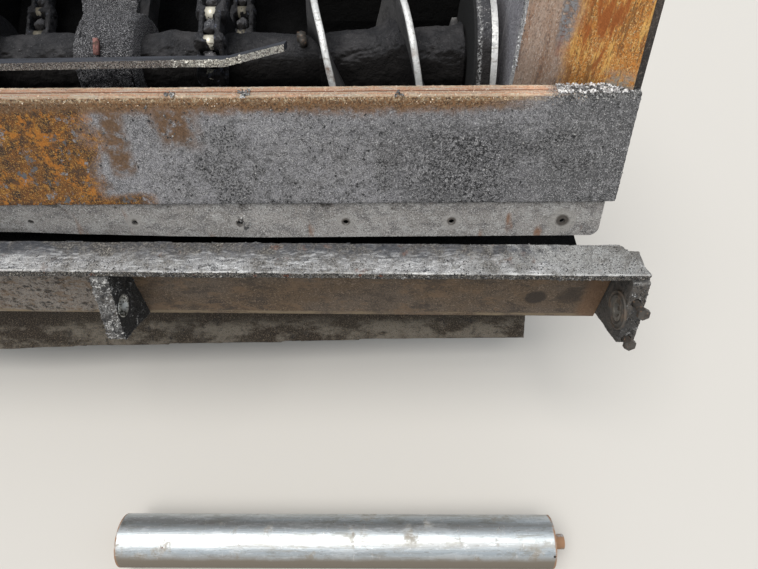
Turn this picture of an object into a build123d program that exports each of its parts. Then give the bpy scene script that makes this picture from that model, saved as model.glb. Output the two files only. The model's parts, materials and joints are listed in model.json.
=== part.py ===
from build123d import *
import os
from math import atan2, cos, degrees, pi, radians, sin, tan

# Receiving hopper front end of a material transfer vehicle, with its push-roller beam.
# Millimetres. X runs across the machine, Y rearwards, Z up. The origin is the centre of the
# four bolt holes in the rear face of the bulkhead, which is bolted to the chassis.
# Places in the side view are pairs (reach, height): reach is how far in front of the
# bulkhead's rear face, height is above the ground.

mount_height = 800.0
seat_gap = 0.2
running_clearance = 0.05
moving_clearance = 5.5

# Tail shaft of the conveyor, which carries the auger; the tub and the beam are placed from it
axis_reach = 650.0
axis_height = 855.0
tube_radius = 70.0
journal_radius = 35.0
journal_stand_out = 4.0
flight_radius = 190.0
flight_thickness = 18.0
flight_pitch = 210.0
flight_turned_x = 553.0
flight_turned_phase = 16.6
terminal_angle = 96.0
terminal_rise = 64.0
flight_step = 12.0
disc_end_gap = 26.0
disc_thickness = 56.0
trough_gap = 38.0
trough_plate = 10.0
trough_half_length = 974.0
end_plate = 10.0
end_bearing_side = 150.0
end_bearing_flange = 16.0
end_bearing_depth = 46.0
end_bearing_corner = 24.0

# Apron, the folded plate across the front, as distances ahead of and above the tail shaft
apron_half_width = 1220.0
apron_plate = 12.0
apron_foot_ahead = 447.0
apron_foot_drop = 94.0
apron_lip_ahead = 372.0
apron_lip_rise = 148.0
lip_depth = 40.0
lip_return = 22.0

# Strip bolted inside the apron's lower edge; its left part is bent inwards
strip_half_width = 1196.0
strip_plate = 10.0
strip_overlap = 40.0
strip_drop = 92.0
strip_corner = 22.0
strip_hole_radius = 7.0
strip_hole_drop = 53.0
strip_hole_pitch = 254.0
strip_hole_count = 9
strip_end_hole_x = 1104.0
strip_second_hole_x = 838.0
# Columns: x along the strip, angle by which its lower part is bent inwards
strip_bend_table = ((1196, 0), (380, 0), (150, 5.5), (-90, 12.5), (-210, 17), (-450, 21),
                    (-760, 11), (-1196, 0))

# Tub: sheets and the flared wings, whose front edges lean back a little
tub_sheet = 8.0
wing_plate = 8.0
wing_front_x = 1196.0
wing_front_set_back = 9.0
wing_foot_ahead = 12.0
wing_rise = 447.0
wing_lean = 6.0
edge_bar_width = 15.0
edge_bar_depth = 34.0
rear_wall_reach = 150.0

# Drag chain and slats; the left strand stands further out than the right one
chain_table = (("left", -349.0), ("right", 258.0))
chain_pitch = 78.1
wheel_teeth = 12
wheel_width = 20.0
chain_roller_radius = 15.9
chain_roller_length = 31.0
chain_pin_radius = 9.0
chain_pin_stand_out = 3.5
link_plate = 9.0
link_height = 38.0
link_nose_share = 0.42
lower_incline = 28.0
upper_incline = 16.0
strand_end_reach = 8.0
front_roller_phase = 19.5
slat_every = 6
slat_half_length = 447.0
slat_bend_x = 305.0
slat_bend_angle = 13.0
slat_twist_x = 220.0
slat_twist = 2.0
slat_lean = 14.0
slat_seat_gap = 0.4
slat_thickness = 16.0
slat_floor_gap = 0.3

# Conveyor tunnel, the hanger inside the chain loop and its cross tube
tunnel_half_width = 470.0
tunnel_plate = 10.0
tunnel_side_rise = 120.0
notch_clearance = 14.0
hanger_x = -14.0
hanger_half_width = 62.0
hanger_wall = 46.0
hanger_arm_depth = 60.0
hanger_arm_width = 118.0
cross_tube_radius = 38.0
cross_tube_wall = 8.0
cross_tube_collar = 16.0
cross_tube_reach = 235.0

# Bulkhead and the rails that carry the tub
bulkhead_plate = 25.0
bulkhead_half_width = 760.0
bulkhead_drop = 390.0
bulkhead_rise = 530.0
bulkhead_corner = 60.0
bolt_spacing_x = 1360.0
bolt_spacing_z = 600.0
bolt_hole_radius = 17.0
rail_x = 560.0
rail_width = 90.0
rail_depth = 150.0
rail_wall = 10.0
saddle_plate = 16.0
saddle_half_length = 170.0
saddle_rise = 40.0
saddle_wrap = 165.0

# Deck between the tub and the beam, lying on the rails
deck_plate = 6.0
deck_half_width = 1180.0
deck_front_set_back = 36.0
deck_depth = 200.0

# Push-roller beam, placed from the tail shaft; it stands askew, its right end further forward
beam_skew = 1.1
beam_half_length = 1306.0
beam_front_ahead = 564.0
beam_head_drop = 191.0
beam_plate = 27.0
beam_depth = 104.0
beam_end_taper = 22.0
beam_chamfer_run = 52.0
beam_chamfer_depth = 46.0
beam_front_corner = 8.0
beam_overhang = 87.0
back_plate = 20.0
back_height = 257.0
ear_thickness = 46.0
ear_lean = 19.3
ear_nose_drop = 172.0
ear_nose_radius = 12.0
centre_ear_x = -4.0
roller_set_back = 2.0
roller_drop = 136.0
bearing_radius = 29.0
bearing_bore_radius = 19.2
bearing_stand_out = 3.0
cap_bolt_radius = 9.5
cap_bolt_pitch = 107.0
cap_bolt_drop = 10.0
cap_bolt_head_radius = 15.5
cap_bolt_head = 12.0
cap_bolt_depth = 60.0
# Columns: place along the ears' front face in pitches from the middle, how far the bolt stands out
cap_bolt_table = ((-0.5, 47.0), (0.5, 27.0))

# Spill plate, hung behind the beam, its lower part bent forwards
spill_set_back = 47.0
spill_plate_thickness = 10.0
spill_bend_height = 255.0
spill_foot_height = 192.0
# Columns: x along the plate, how far its foot stands in front of its upper part
spill_foot_table = ((1121, 46), (700, 47), (260, 57), (-200, 63), (-500, 74), (-1121, 50))

# Push roller taken off, lying on the ground in front, not quite square to the machine
roller_radius = 66.5
roller_length = 1136.0
roller_stub_radius = 19.0
roller_stub_length = 35.0
roller_left_x = -22.0
roller_rest_ahead = 438.0
roller_turn = 0.64
roller_socket_depth = 60.0
roller_wall = 37.0
roller_plug_radius = 6.0
roller_plug_inset = 20.0
roller_plug_phase = -35.0

cut_margin = 1.0

os.makedirs("parts", exist_ok=True)
nodes = {}

sides = (("left", -1), ("right", 1))
trough_radius = flight_radius + trough_gap
outer_radius = trough_radius + trough_plate
wheel_pitch_radius = chain_pitch / (2 * sin(pi / wheel_teeth))
apron_foot = (axis_reach + apron_foot_ahead, axis_height - apron_foot_drop)
apron_lip = (axis_reach + apron_lip_ahead, axis_height + apron_lip_rise)
wing_top = apron_lip[1] + wing_rise
beam_front_reach = axis_reach + beam_front_ahead
beam_head = axis_height - beam_head_drop
beam_low = beam_head - beam_plate
back_reach = beam_front_reach - beam_overhang
back_rear = back_reach - back_plate
rail_head = axis_height - outer_radius - saddle_rise
disc_face = trough_half_length - disc_end_gap - disc_thickness
beam_pivot = Axis((0, -beam_front_reach, 0), (0, 0, 1))


def keep(name, shape):
    """Store a finished piece under its node name."""
    nodes[name] = shape


def place(reach, height):
    """Y and Z of a point in the side view."""
    return (-reach, height - mount_height)


def prism(points, x_low, x_high):
    """Solid with a side-view outline of (reach, height) points."""
    outline = make_face(Polyline(*[place(*p) for p in points], close=True))
    return Pos(x_low, 0, 0) * extrude(Plane.YZ * outline, amount=x_high - x_low)


def ribbon(points, thickness):
    """Closed outline of a folded sheet: the points and their offset to the left."""
    shifted = []
    for i, (px, py) in enumerate(points):
        turns = []
        for a, b in ((i - 1, i), (i, i + 1)):
            if a >= 0 and b < len(points):
                turns.append(atan2(points[b][1] - points[a][1], points[b][0] - points[a][0]))
        half = (turns[-1] - turns[0]) / 2
        middle = turns[0] + half
        width = thickness / cos(half)
        shifted.append((px - width * sin(middle), py + width * cos(middle)))
    return list(points) + shifted[::-1]


def along_x(radius, x_low, x_high, reach, height):
    """Round bar along X."""
    y, z = place(reach, height)
    disc = Plane((x_low, y, z), x_dir=(0, 1, 0), z_dir=(1, 0, 0)) * Circle(radius)
    return extrude(disc, amount=x_high - x_low)


def ring(outer, inner, x_low, x_high, reach, height):
    """Round tube along X."""
    return along_x(outer, x_low, x_high, reach, height) - along_x(inner, x_low, x_high, reach, height)


def skewed(shape):
    """The shape of the straight beam turned with it about the middle of its front edge."""
    return shape.rotate(beam_pivot, -beam_skew)


def mirrored(shape, side):
    """The shape as built on the right, or its mirror image for the left."""
    return shape if side > 0 else mirror(shape, about=Plane.YZ)


def around_axis(radius, phase):
    """Side-view point at a radius from the tail shaft; phase 0 is forwards, 90 is up."""
    angle = radians(phase)
    return (axis_reach + radius * cos(angle), axis_height + radius * sin(angle))


def arc_points(radius, start, end, steps):
    """Side-view points along an arc about the tail shaft."""
    return [around_axis(radius, start + (end - start) * i / steps) for i in range(steps + 1)]


def faceted(stations):
    """Solid through a row of stations with as many corners each, with flat facets between them."""
    faces = [Face(Wire.make_polygon(stations[0])), Face(Wire.make_polygon(stations[-1][::-1]))]
    for before, after in zip(stations, stations[1:]):
        for i in range(len(before)):
            j = (i + 1) % len(before)
            faces.append(Face(Wire.make_polygon([before[i], after[i], before[j]])))
            faces.append(Face(Wire.make_polygon([before[j], after[i], after[j]])))
    return Solid(Shell(faces))


# Apron and strip
apron_angle = atan2(apron_lip[1] - apron_foot[1], apron_lip[0] - apron_foot[0])
along_apron = (cos(apron_angle), sin(apron_angle))
into_apron = (-sin(apron_angle), cos(apron_angle))
if into_apron[0] > 0:
    into_apron = (-into_apron[0], -into_apron[1])


def on_apron(up, inwards):
    """Side-view point up the apron from its foot, and inwards from its outer face."""
    return (apron_foot[0] + up * along_apron[0] + inwards * into_apron[0],
            apron_foot[1] + up * along_apron[1] + inwards * into_apron[1])


lip_rear = (apron_lip[0] - lip_depth, apron_lip[1])
apron_path = [apron_foot, apron_lip, lip_rear, (lip_rear[0], lip_rear[1] - lip_return)]
keep("front_apron", prism(ribbon(apron_path, apron_plate), -apron_half_width, apron_half_width))


def strip_station(x, bend):
    """Corners of the strip's section: straight above the apron's foot, bent inwards below it."""
    angle = radians(bend)
    kink = strip_plate * tan(angle / 2)
    run = strip_drop * cos(angle)
    swing = apron_plate + strip_drop * sin(angle)
    corners = [(strip_overlap, apron_plate), (0, apron_plate), (-run, swing),
               (-run + strip_plate * sin(angle), swing + strip_plate * cos(angle)),
               (kink, apron_plate + strip_plate), (strip_overlap, apron_plate + strip_plate)]
    return [Vector(x, *place(*on_apron(*c))) for c in corners]


strip = faceted([strip_station(x, bend) for x, bend in strip_bend_table])
strip_normal = Vector(0, -into_apron[0], into_apron[1])
hole_line = place(*on_apron(-strip_hole_drop, 0))
hole_xs = [strip_end_hole_x]
hole_xs += [strip_second_hole_x - i * strip_hole_pitch for i in range(strip_hole_count - 1)]
for x in hole_xs:
    drill = Plane((x, hole_line[0], hole_line[1]), z_dir=strip_normal) * Circle(strip_hole_radius)
    strip -= extrude(drill, amount=4 * (apron_plate + strip_plate), both=True)
low_corners = [e for e in strip.edges() if abs((e % 0.5).dot(strip_normal)) > 0.99
               and abs(e.center().X) > strip_half_width - 1 and e.center().Z < hole_line[1]]
keep("apron_strip", fillet(low_corners, strip_corner))

# Front sheet, from under the lip down to the trough
trough_front = axis_reach + trough_radius
sheet_head = (lip_rear[0], lip_rear[1] - lip_return)
sheet_foot = (trough_front, axis_height)
front_sheet_outline = [sheet_head, (sheet_head[0] + tub_sheet, sheet_head[1]),
                       (sheet_foot[0] + tub_sheet, sheet_foot[1]), sheet_foot]
keep("front_sheet", prism(front_sheet_outline, -wing_front_x, wing_front_x))

# Trough round the auger, with the tunnel floor running on from its middle length
leave_phase = -90.0 - lower_incline


def trough(end_phase, x_low, x_high):
    """Bent trough plate from the front sheet's foot round to a phase."""
    half = ring(outer_radius, trough_radius, x_low, x_high, axis_reach, axis_height)
    reach_out = 2 * outer_radius
    cut = [(axis_reach, axis_height), around_axis(reach_out, 0)]
    cut += [around_axis(reach_out, end_phase * i / 4) for i in range(1, 5)]
    return half & prism(cut, x_low, x_high)


keep("trough_centre", trough(leave_phase, -tunnel_half_width, tunnel_half_width))
for name, side in sides:
    keep("trough_" + name, mirrored(trough(-180, tunnel_half_width, trough_half_length), side))

# Rear wall, sloping up from the trough
wall_foot = (axis_reach - trough_radius, axis_height)
wall_head = (rear_wall_reach, wing_top)
wall_run = (wall_foot[0] - wall_head[0]) / (wall_head[1] - wall_foot[1])
wall_width = tub_sheet * (1 + wall_run ** 2) ** 0.5
wall_section = [wall_head, wall_foot, (wall_foot[0] - wall_width, wall_foot[1]),
                (wall_head[0] - wall_width, wall_head[1])]


def front_view(points, reach_low, reach_high):
    """Solid with a front-view outline of (x, height) points."""
    outline = make_face(Polyline(*[(x, h - mount_height) for x, h in points], close=True))
    return Pos(0, -reach_low, 0) * extrude(Plane.XZ * outline, amount=reach_high - reach_low)


for name, side in sides:
    wall = prism(wall_section, tunnel_half_width + tunnel_plate, trough_half_length)
    keep("rear_wall_" + name, mirrored(wall, side))

# Flared wings, upright plates that run outwards from the end plates to the apron's ends.
# Points on them are pairs (run, height), run being measured back from the front edge.
wing_start = (wing_front_x, apron_lip[0] - wing_front_set_back)
wing_end = (trough_half_length, trough_front + wing_foot_ahead)
wing_length = ((wing_start[0] - wing_end[0]) ** 2 + (wing_start[1] - wing_end[1]) ** 2) ** 0.5
wing_back = ((wing_end[0] - wing_start[0]) / wing_length, (wing_start[1] - wing_end[1]) / wing_length)
wing_plane = Plane((wing_start[0], -wing_start[1], -mount_height), x_dir=(wing_back[0], wing_back[1], 0),
                   z_dir=(wing_back[1], -wing_back[0], 0))
sheet_run = (sheet_head[0] - sheet_foot[0]) / (sheet_head[1] - sheet_foot[1])
over_lip = (wing_start[1] - lip_rear[0]) / wing_back[1]
wing_low = sheet_foot[1] + (wing_end[1] - sheet_foot[0]) / sheet_run
lean_run = wing_rise * tan(radians(wing_lean))


def on_wing(points, thickness):
    """Plate in the wing's plane, thickened outwards from its inner face."""
    outline = make_face(Polyline(*points, close=True))
    return extrude(wing_plane * outline, amount=thickness)


wing_outline = [(0, apron_lip[1]), (lean_run, wing_top), (wing_length, wing_top), (wing_length, wing_low),
                (over_lip, lip_rear[1] - lip_return), (over_lip, apron_lip[1])]
end_outline = arc_points(outer_radius, -180, 0, 12)
end_outline += [sheet_foot, (wing_end[1], wing_low), (wing_end[1], wing_top), wall_head, wall_foot]
end_panel = prism(end_outline, trough_half_length, trough_half_length + end_plate)
wing_outer = Vector(wing_plate * wing_back[1], -wing_plate * wing_back[0], 0)


def bar_corner(run, height, out):
    """Corner of the edge bar: a place on the wing's outer face, and outwards from it across the machine."""
    return wing_plane.from_local_coords((run, height, 0)) + wing_outer + Vector(out, 0, 0)


bar_ends = []
for run, height in ((0, apron_lip[1]), (lean_run, wing_top)):
    bar_ends.append([bar_corner(run, height, 0), bar_corner(run, height, edge_bar_width),
                     bar_corner(run + edge_bar_depth, height, edge_bar_width),
                     bar_corner(run + edge_bar_depth, height, 0)])
edge_bar = faceted(bar_ends)
for name, side in sides:
    wing = on_wing(wing_outline, wing_plate) - end_panel
    keep("wing_" + name, mirrored(wing, side))
    keep("edge_bar_" + name, mirrored(edge_bar, side))

# End plates, which close the trough and carry the shaft's bearings
end_hole = journal_radius + moving_clearance
for name, side in sides:
    plate = end_panel - along_x(end_hole, trough_half_length - cut_margin,
                                trough_half_length + end_plate + cut_margin, axis_reach, axis_height)
    keep("trough_end_" + name, mirrored(plate, side))
    seat = trough_half_length + end_plate
    y, z = place(axis_reach, axis_height)
    flange = Box(end_bearing_flange, end_bearing_side, end_bearing_side)
    flange = Pos(seat + end_bearing_flange / 2, y, z) * flange
    flange = fillet(flange.edges().filter_by(Axis.X), end_bearing_corner)
    hub_radius = (end_bearing_side - end_bearing_corner) / 2
    housing = flange + along_x(hub_radius, seat, seat + end_bearing_depth, axis_reach, axis_height)
    housing -= along_x(journal_radius + running_clearance, seat - cut_margin,
                       seat + end_bearing_depth + cut_margin, axis_reach, axis_height)
    keep("end_bearing_" + name, mirrored(housing, side))

# Tail shaft with its journals, smooth tail wheels, flights and end discs
journal_end = trough_half_length + end_plate + end_bearing_depth + journal_stand_out
tube_half = disc_face + disc_thickness
shaft = along_x(tube_radius, -tube_half, tube_half, axis_reach, axis_height)
shaft += along_x(journal_radius, -journal_end, journal_end, axis_reach, axis_height)
keep("tail_shaft", shaft)
wheel_radius = wheel_pitch_radius - chain_roller_radius - moving_clearance


def helical_flight(turns):
    """Flight plate from radial stations of (phase, x) about the tail shaft, in flat facets."""
    inner = (tube_radius + seat_gap) / cos(radians(flight_step / 2))
    stations = []
    for phase, x in turns:
        corners = []
        for radius, dx in ((inner, -1), (inner, 1), (flight_radius, 1), (flight_radius, -1)):
            y, z = place(*around_axis(radius, phase))
            corners.append(Vector(x + dx * flight_thickness / 2, y, z))
        stations.append(corners)
    return faceted(stations)


# The flight runs from the end disc towards the chain, its last part a little steeper.
flight_start_x = disc_face - flight_thickness / 2 - seat_gap
turned = 360 * (flight_start_x - flight_turned_x) / flight_pitch
steps = int(round(turned / flight_step))
flight_turns = []
for i in range(steps + 1):
    share = i / steps
    flight_turns.append((flight_turned_phase - turned * (1 - share),
                         flight_start_x + (flight_turned_x - flight_start_x) * share))
terminal_steps = int(round(terminal_angle / flight_step))
for i in range(1, terminal_steps + 1):
    share = i / terminal_steps
    flight_turns.append((flight_turned_phase + terminal_angle * share,
                         flight_turned_x - terminal_rise * share))
flight = helical_flight(flight_turns)

for name, x in chain_table:
    wheel = ring(wheel_radius, tube_radius + seat_gap, x - wheel_width / 2, x + wheel_width / 2,
                 axis_reach, axis_height)
    keep("tail_wheel_" + name, wheel)
for name, side in sides:
    keep("flight_" + name, mirrored(flight, side))
    disc = ring(flight_radius, tube_radius + seat_gap, disc_face, disc_face + disc_thickness,
                axis_reach, axis_height)
    keep("end_disc_" + name, mirrored(disc, side))

# Chain path: down the upper strand, round the tail wheel's front and up the lower strand
upper_phase = 90.0 - upper_incline
upper_start = around_axis(wheel_pitch_radius, upper_phase)
upper_length = (upper_start[0] - strand_end_reach) / cos(radians(upper_incline))
lower_start = around_axis(wheel_pitch_radius, leave_phase)
lower_length = (lower_start[0] - strand_end_reach) / cos(radians(lower_incline))
front_to_upper = radians(upper_phase - front_roller_phase) * wheel_pitch_radius
front_to_lower = radians(front_roller_phase - leave_phase) * wheel_pitch_radius


def on_chain(distance):
    """Side-view point and the outward angle, measured from the front roller, down positive."""
    if distance < -front_to_upper:
        run = -distance - front_to_upper
        a = radians(upper_incline)
        return (upper_start[0] - run * cos(a), upper_start[1] + run * sin(a)), upper_phase
    if distance > front_to_lower:
        run = distance - front_to_lower
        a = radians(lower_incline)
        return (lower_start[0] - run * cos(a), lower_start[1] + run * sin(a)), leave_phase
    phase = front_roller_phase - degrees(distance / wheel_pitch_radius)
    return around_axis(wheel_pitch_radius, phase), phase


links_up = int((front_to_upper + upper_length) / chain_pitch)
links_down = int((front_to_lower + lower_length) / chain_pitch)
roller_points = [on_chain(i * chain_pitch) for i in range(-links_up, links_down + 1)]


def link_bar(start, end, x_low, x_high):
    """Side bar of one link: a waisted plate with rounded-off ends about both rollers."""
    angle = atan2(end[1] - start[1], end[0] - start[0])
    length = ((end[0] - start[0]) ** 2 + (end[1] - start[1]) ** 2) ** 0.5
    half = link_height / 2
    nose = half * link_nose_share
    outline = [(-half, -nose), (-nose, -half), (length + nose, -half), (length + half, -nose),
               (length + half, nose), (length + nose, half), (-nose, half), (-half, nose)]
    turned_points = [(start[0] + u * cos(angle) - v * sin(angle),
                      start[1] + u * sin(angle) + v * cos(angle)) for u, v in outline]
    return prism(turned_points, x_low, x_high)


def chain_strand(x_middle):
    """Rollers and alternating inner and outer side bars, joined at the rollers."""
    pieces = []
    inner_face = chain_roller_length / 2
    for point, _ in roller_points:
        pieces.append(along_x(chain_roller_radius, x_middle - inner_face, x_middle + inner_face, *point))
        pin_end = inner_face + 2 * link_plate + chain_pin_stand_out
        pieces.append(along_x(chain_pin_radius, x_middle - pin_end, x_middle + pin_end, *point))
    for i, (start, end) in enumerate(zip(roller_points, roller_points[1:])):
        face = inner_face + (i % 2) * link_plate
        for side in (-1, 1):
            low, high = sorted((x_middle + side * face, x_middle + side * (face + link_plate)))
            pieces.append(link_bar(start[0], end[0], low, high))
    return pieces[0].fuse(*pieces[1:])


for name, x in chain_table:
    keep("chain_" + name, chain_strand(x))

# Slats, standing out from the chain on its outer side; the front one has its right end bent
# and its left end hangs lower
slat_inner = link_height / 2
slat_outer = trough_radius - wheel_pitch_radius - slat_floor_gap
slat_bend_rise = (slat_half_length - slat_bend_x) * tan(radians(slat_bend_angle))


def slat(link, bent):
    """Flat bar across both strands, on the middle of a link; the bent one leans downwards too."""
    start = roller_points[link][0]
    end = roller_points[link + 1][0]
    out = atan2(end[1] - start[1], end[0] - start[0]) + pi / 2
    lean = radians(slat_lean) if bent else 0.0
    dip = slat_thickness / 2 * sin(lean)
    root = slat_inner + (dip + slat_seat_gap if bent else 0.0)
    depth = (slat_outer - root - dip) / cos(lean)
    reach = (start[0] + end[0]) / 2 + root * cos(out)
    height = (start[1] + end[1]) / 2 + root * sin(out)
    corners = []
    for run, rise in ((0, -0.5), (depth, -0.5), (depth, 0.5), (0, 0.5)):
        side_step = rise * slat_thickness
        corners.append((reach + run * cos(out - lean) - side_step * sin(out - lean),
                        height + run * sin(out - lean) + side_step * cos(out - lean)))
    if not bent:
        return prism(corners, -slat_half_length, slat_half_length)
    lifted = [(r - slat_bend_rise * sin(out), h + slat_bend_rise * cos(out)) for r, h in corners]
    hanging = []
    for r, h in corners:
        phase = degrees(atan2(h - axis_height, r - axis_reach)) - slat_twist
        hanging.append(around_axis(((r - axis_reach) ** 2 + (h - axis_height) ** 2) ** 0.5, phase))
    stations = ((slat_half_length, lifted), (slat_bend_x, corners), (slat_twist_x, corners),
                (-slat_half_length, hanging))
    return faceted([[Vector(x, *place(*c)) for c in section] for x, section in stations])


front_link = links_up - 1
slat_links = range(front_link % slat_every, links_up + links_down, slat_every)
for i, link in enumerate(slat_links):
    keep(f"slat_{i + 1}", slat(link, link == front_link))

# Tunnel floor, side plates and return deck
incline = radians(lower_incline)


def in_tunnel(run, rise):
    """Side-view point along the lower incline from the tail shaft, and square to it."""
    return (axis_reach - run * cos(incline) + rise * sin(incline),
            axis_height + run * sin(incline) + rise * cos(incline))


def cut_at_bulkhead(rise):
    """Distance along the incline at which a line at this rise meets the bulkhead's rear face."""
    return (axis_reach + rise * sin(incline)) / cos(incline)


floor_top = -trough_radius
floor_low = floor_top - trough_plate
keep("tunnel_floor", prism([in_tunnel(0, floor_top), in_tunnel(cut_at_bulkhead(floor_top), floor_top),
                            in_tunnel(cut_at_bulkhead(floor_low), floor_low), in_tunnel(0, floor_low)],
                           -tunnel_half_width, tunnel_half_width))
side_top = tunnel_side_rise
side_start = axis_reach - outer_radius
for name, side in sides:
    outline = [in_tunnel(cut_at_bulkhead(floor_low), floor_low),
               in_tunnel(cut_at_bulkhead(side_top), side_top)]
    run_top = (axis_reach - side_start + side_top * sin(incline)) / cos(incline)
    run_low = (axis_reach - side_start + floor_low * sin(incline)) / cos(incline)
    outline += [in_tunnel(run_top, side_top), in_tunnel(run_low, floor_low)]
    tunnel_side = prism(outline, tunnel_half_width, tunnel_half_width + tunnel_plate)
    keep("tunnel_side_" + name, mirrored(tunnel_side, side))

# Shaft hanger, a split ring on an arm inside the chain loop, on a cross tube
mean_incline = radians((lower_incline + upper_incline) / 2)
cross = (cross_tube_reach, axis_height + (axis_reach - cross_tube_reach) * tan(mean_incline))
arm_angle = atan2(cross[1] - axis_height, cross[0] - axis_reach)
arm_half = hanger_arm_depth / 2
arm = []
shaft_centre = (axis_reach, axis_height)
for centre, sign in ((shaft_centre, 1), (cross, 1), (cross, -1), (shaft_centre, -1)):
    arm.append((centre[0] - sign * arm_half * sin(arm_angle), centre[1] + sign * arm_half * cos(arm_angle)))
hanger_bore = tube_radius + moving_clearance
hanger_span = (hanger_x - hanger_half_width, hanger_x + hanger_half_width)
cut_span = (hanger_span[0] - cut_margin, hanger_span[1] + cut_margin)
hanger = along_x(hanger_bore + hanger_wall, *hanger_span, axis_reach, axis_height)
hanger += prism(arm, hanger_x - hanger_arm_width / 2, hanger_x + hanger_arm_width / 2)
hanger += along_x(cross_tube_radius + cross_tube_collar, *hanger_span, *cross)
hanger -= along_x(hanger_bore, *cut_span, axis_reach, axis_height)
hanger -= along_x(cross_tube_radius, *cut_span, *cross)
keep("shaft_hanger", hanger)
keep("cross_tube", ring(cross_tube_radius, cross_tube_radius - cross_tube_wall,
                        -tunnel_half_width, tunnel_half_width, *cross))

# Bulkhead, with a notch for the tunnel and the four chassis bolts
notch_low = in_tunnel(cut_at_bulkhead(floor_low), floor_low)[1] - notch_clearance
notch_half = tunnel_half_width + tunnel_plate
bulkhead_foot = mount_height - bulkhead_drop
bulkhead_head = mount_height + bulkhead_rise
panel = [(-bulkhead_half_width, bulkhead_foot), (bulkhead_half_width, bulkhead_foot),
         (bulkhead_half_width, bulkhead_head), (notch_half, bulkhead_head), (notch_half, notch_low),
         (-notch_half, notch_low), (-notch_half, bulkhead_head), (-bulkhead_half_width, bulkhead_head)]
bulkhead = front_view(panel, 0, bulkhead_plate)
outer_corners = [e for e in bulkhead.edges().filter_by(Axis.Y)
                 if abs(e.center().X) > bulkhead_half_width - cut_margin]
bulkhead = fillet(outer_corners, bulkhead_corner)
for sx in (-1, 1):
    for sz in (-1, 1):
        hole_plane = Plane((sx * bolt_spacing_x / 2, cut_margin, sz * bolt_spacing_z / 2), z_dir=(0, -1, 0))
        bulkhead -= extrude(hole_plane * Circle(bolt_hole_radius), amount=bulkhead_plate + 2 * cut_margin)
keep("bulkhead", bulkhead)

# Rails from the bulkhead to the beam, cut to its angle, and the saddles on which the trough rests
saddle_head = axis_height - outer_radius + saddle_wrap
rail_low = rail_head - rail_depth
past_beam = beam_front_reach + beam_depth
beyond_back = skewed(prism([(back_rear, rail_low - cut_margin), (past_beam, rail_low - cut_margin),
                            (past_beam, rail_head + cut_margin), (back_rear, rail_head + cut_margin)],
                           -beam_half_length, beam_half_length))
for name, side in sides:
    low_x = rail_x - rail_width / 2
    high_x = rail_x + rail_width / 2
    outer = prism([(bulkhead_plate, rail_low), (beam_front_reach, rail_low), (beam_front_reach, rail_head),
                   (bulkhead_plate, rail_head)], low_x, high_x)
    core = prism([(bulkhead_plate, rail_low + rail_wall), (beam_front_reach, rail_low + rail_wall),
                  (beam_front_reach, rail_head - rail_wall), (bulkhead_plate, rail_head - rail_wall)],
                 low_x + rail_wall, high_x - rail_wall)
    keep("rail_" + name, mirrored(outer - core, side) - beyond_back)
    saddle_front = axis_reach + saddle_half_length
    saddle_rear = axis_reach - saddle_half_length
    saddle = prism([(saddle_rear, rail_head), (saddle_front, rail_head), (saddle_front, saddle_head),
                    (saddle_rear, saddle_head)], rail_x - saddle_plate / 2, rail_x + saddle_plate / 2)
    saddle -= along_x(outer_radius + seat_gap, low_x, high_x, axis_reach, axis_height)
    keep("saddle_" + name, mirrored(saddle, side))

# Deck on the rails, which closes the view down between the strip and the beam
deck_front = back_rear - deck_front_set_back
deck_rear = deck_front - deck_depth
deck_head = rail_head + deck_plate
keep("rail_deck", prism([(deck_rear, rail_head), (deck_front, rail_head), (deck_front, deck_head),
                         (deck_rear, deck_head)], -deck_half_width, deck_half_width))

# Push-roller beam: top plate, back plate and three ears
beam_rear_reach = beam_front_reach - beam_depth
roller_reach = beam_front_reach - roller_set_back
roller_height = beam_head - roller_drop
back_foot = beam_low - back_height
end_x = beam_half_length
taper_x = end_x - beam_end_taper
chamfer_x = end_x - beam_chamfer_run
top_outline = [(-end_x, beam_front_reach), (end_x, beam_front_reach),
               (taper_x, beam_rear_reach + beam_chamfer_depth), (chamfer_x, beam_rear_reach),
               (-chamfer_x, beam_rear_reach), (-taper_x, beam_rear_reach + beam_chamfer_depth)]
top_face = make_face(Polyline(*[(x, -r) for x, r in top_outline], close=True))
top = Pos(0, 0, beam_low - mount_height) * extrude(top_face, amount=beam_plate)
front_corners = [e for e in top.edges().filter_by(Axis.Z) if e.center().Y < cut_margin - beam_front_reach]
keep("beam_top", skewed(fillet(front_corners, beam_front_corner)))
bay_end = beam_half_length - ear_thickness
back = prism([(back_rear, back_foot), (back_reach, back_foot), (back_reach, beam_low),
              (back_rear, beam_low)], -bay_end, bay_end)
keep("beam_back", skewed(back))

# The ears' front faces lean outwards by this angle, down to a nose
lean = radians(ear_lean)
down_face = (sin(lean), -cos(lean))
out_of_face = (cos(lean), sin(lean))
nose = (beam_front_reach + ear_nose_drop * tan(lean), beam_low - ear_nose_drop)


def on_face(run, out):
    """Side-view point down the ears' front face from the beam, and out from it."""
    return (beam_front_reach + run * down_face[0] + out * out_of_face[0],
            beam_low + run * down_face[1] + out * out_of_face[1])


# Where the roller's axis stands over the front face; the cap bolts are a little lower
axis_run = (roller_reach - beam_front_reach) * down_face[0] + (roller_height - beam_low) * down_face[1]
bolt_run = axis_run + cap_bolt_drop


def ear(x_low, rear):
    """Ear under the beam, its lower edge rising from the back plate's foot to the nose."""
    outline = [(beam_front_reach, beam_low), nose, (rear, back_foot), (rear, beam_low)]
    body = prism(outline, x_low, x_low + ear_thickness)
    y, z = place(*nose)
    tip = [e for e in body.edges().filter_by(Axis.X)
           if abs(e.center().Y - y) < cut_margin and abs(e.center().Z - z) < cut_margin]
    body = fillet(tip, ear_nose_radius)
    return body - along_x(bearing_radius, x_low - cut_margin, x_low + ear_thickness + cut_margin,
                          roller_reach, roller_height)


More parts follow.
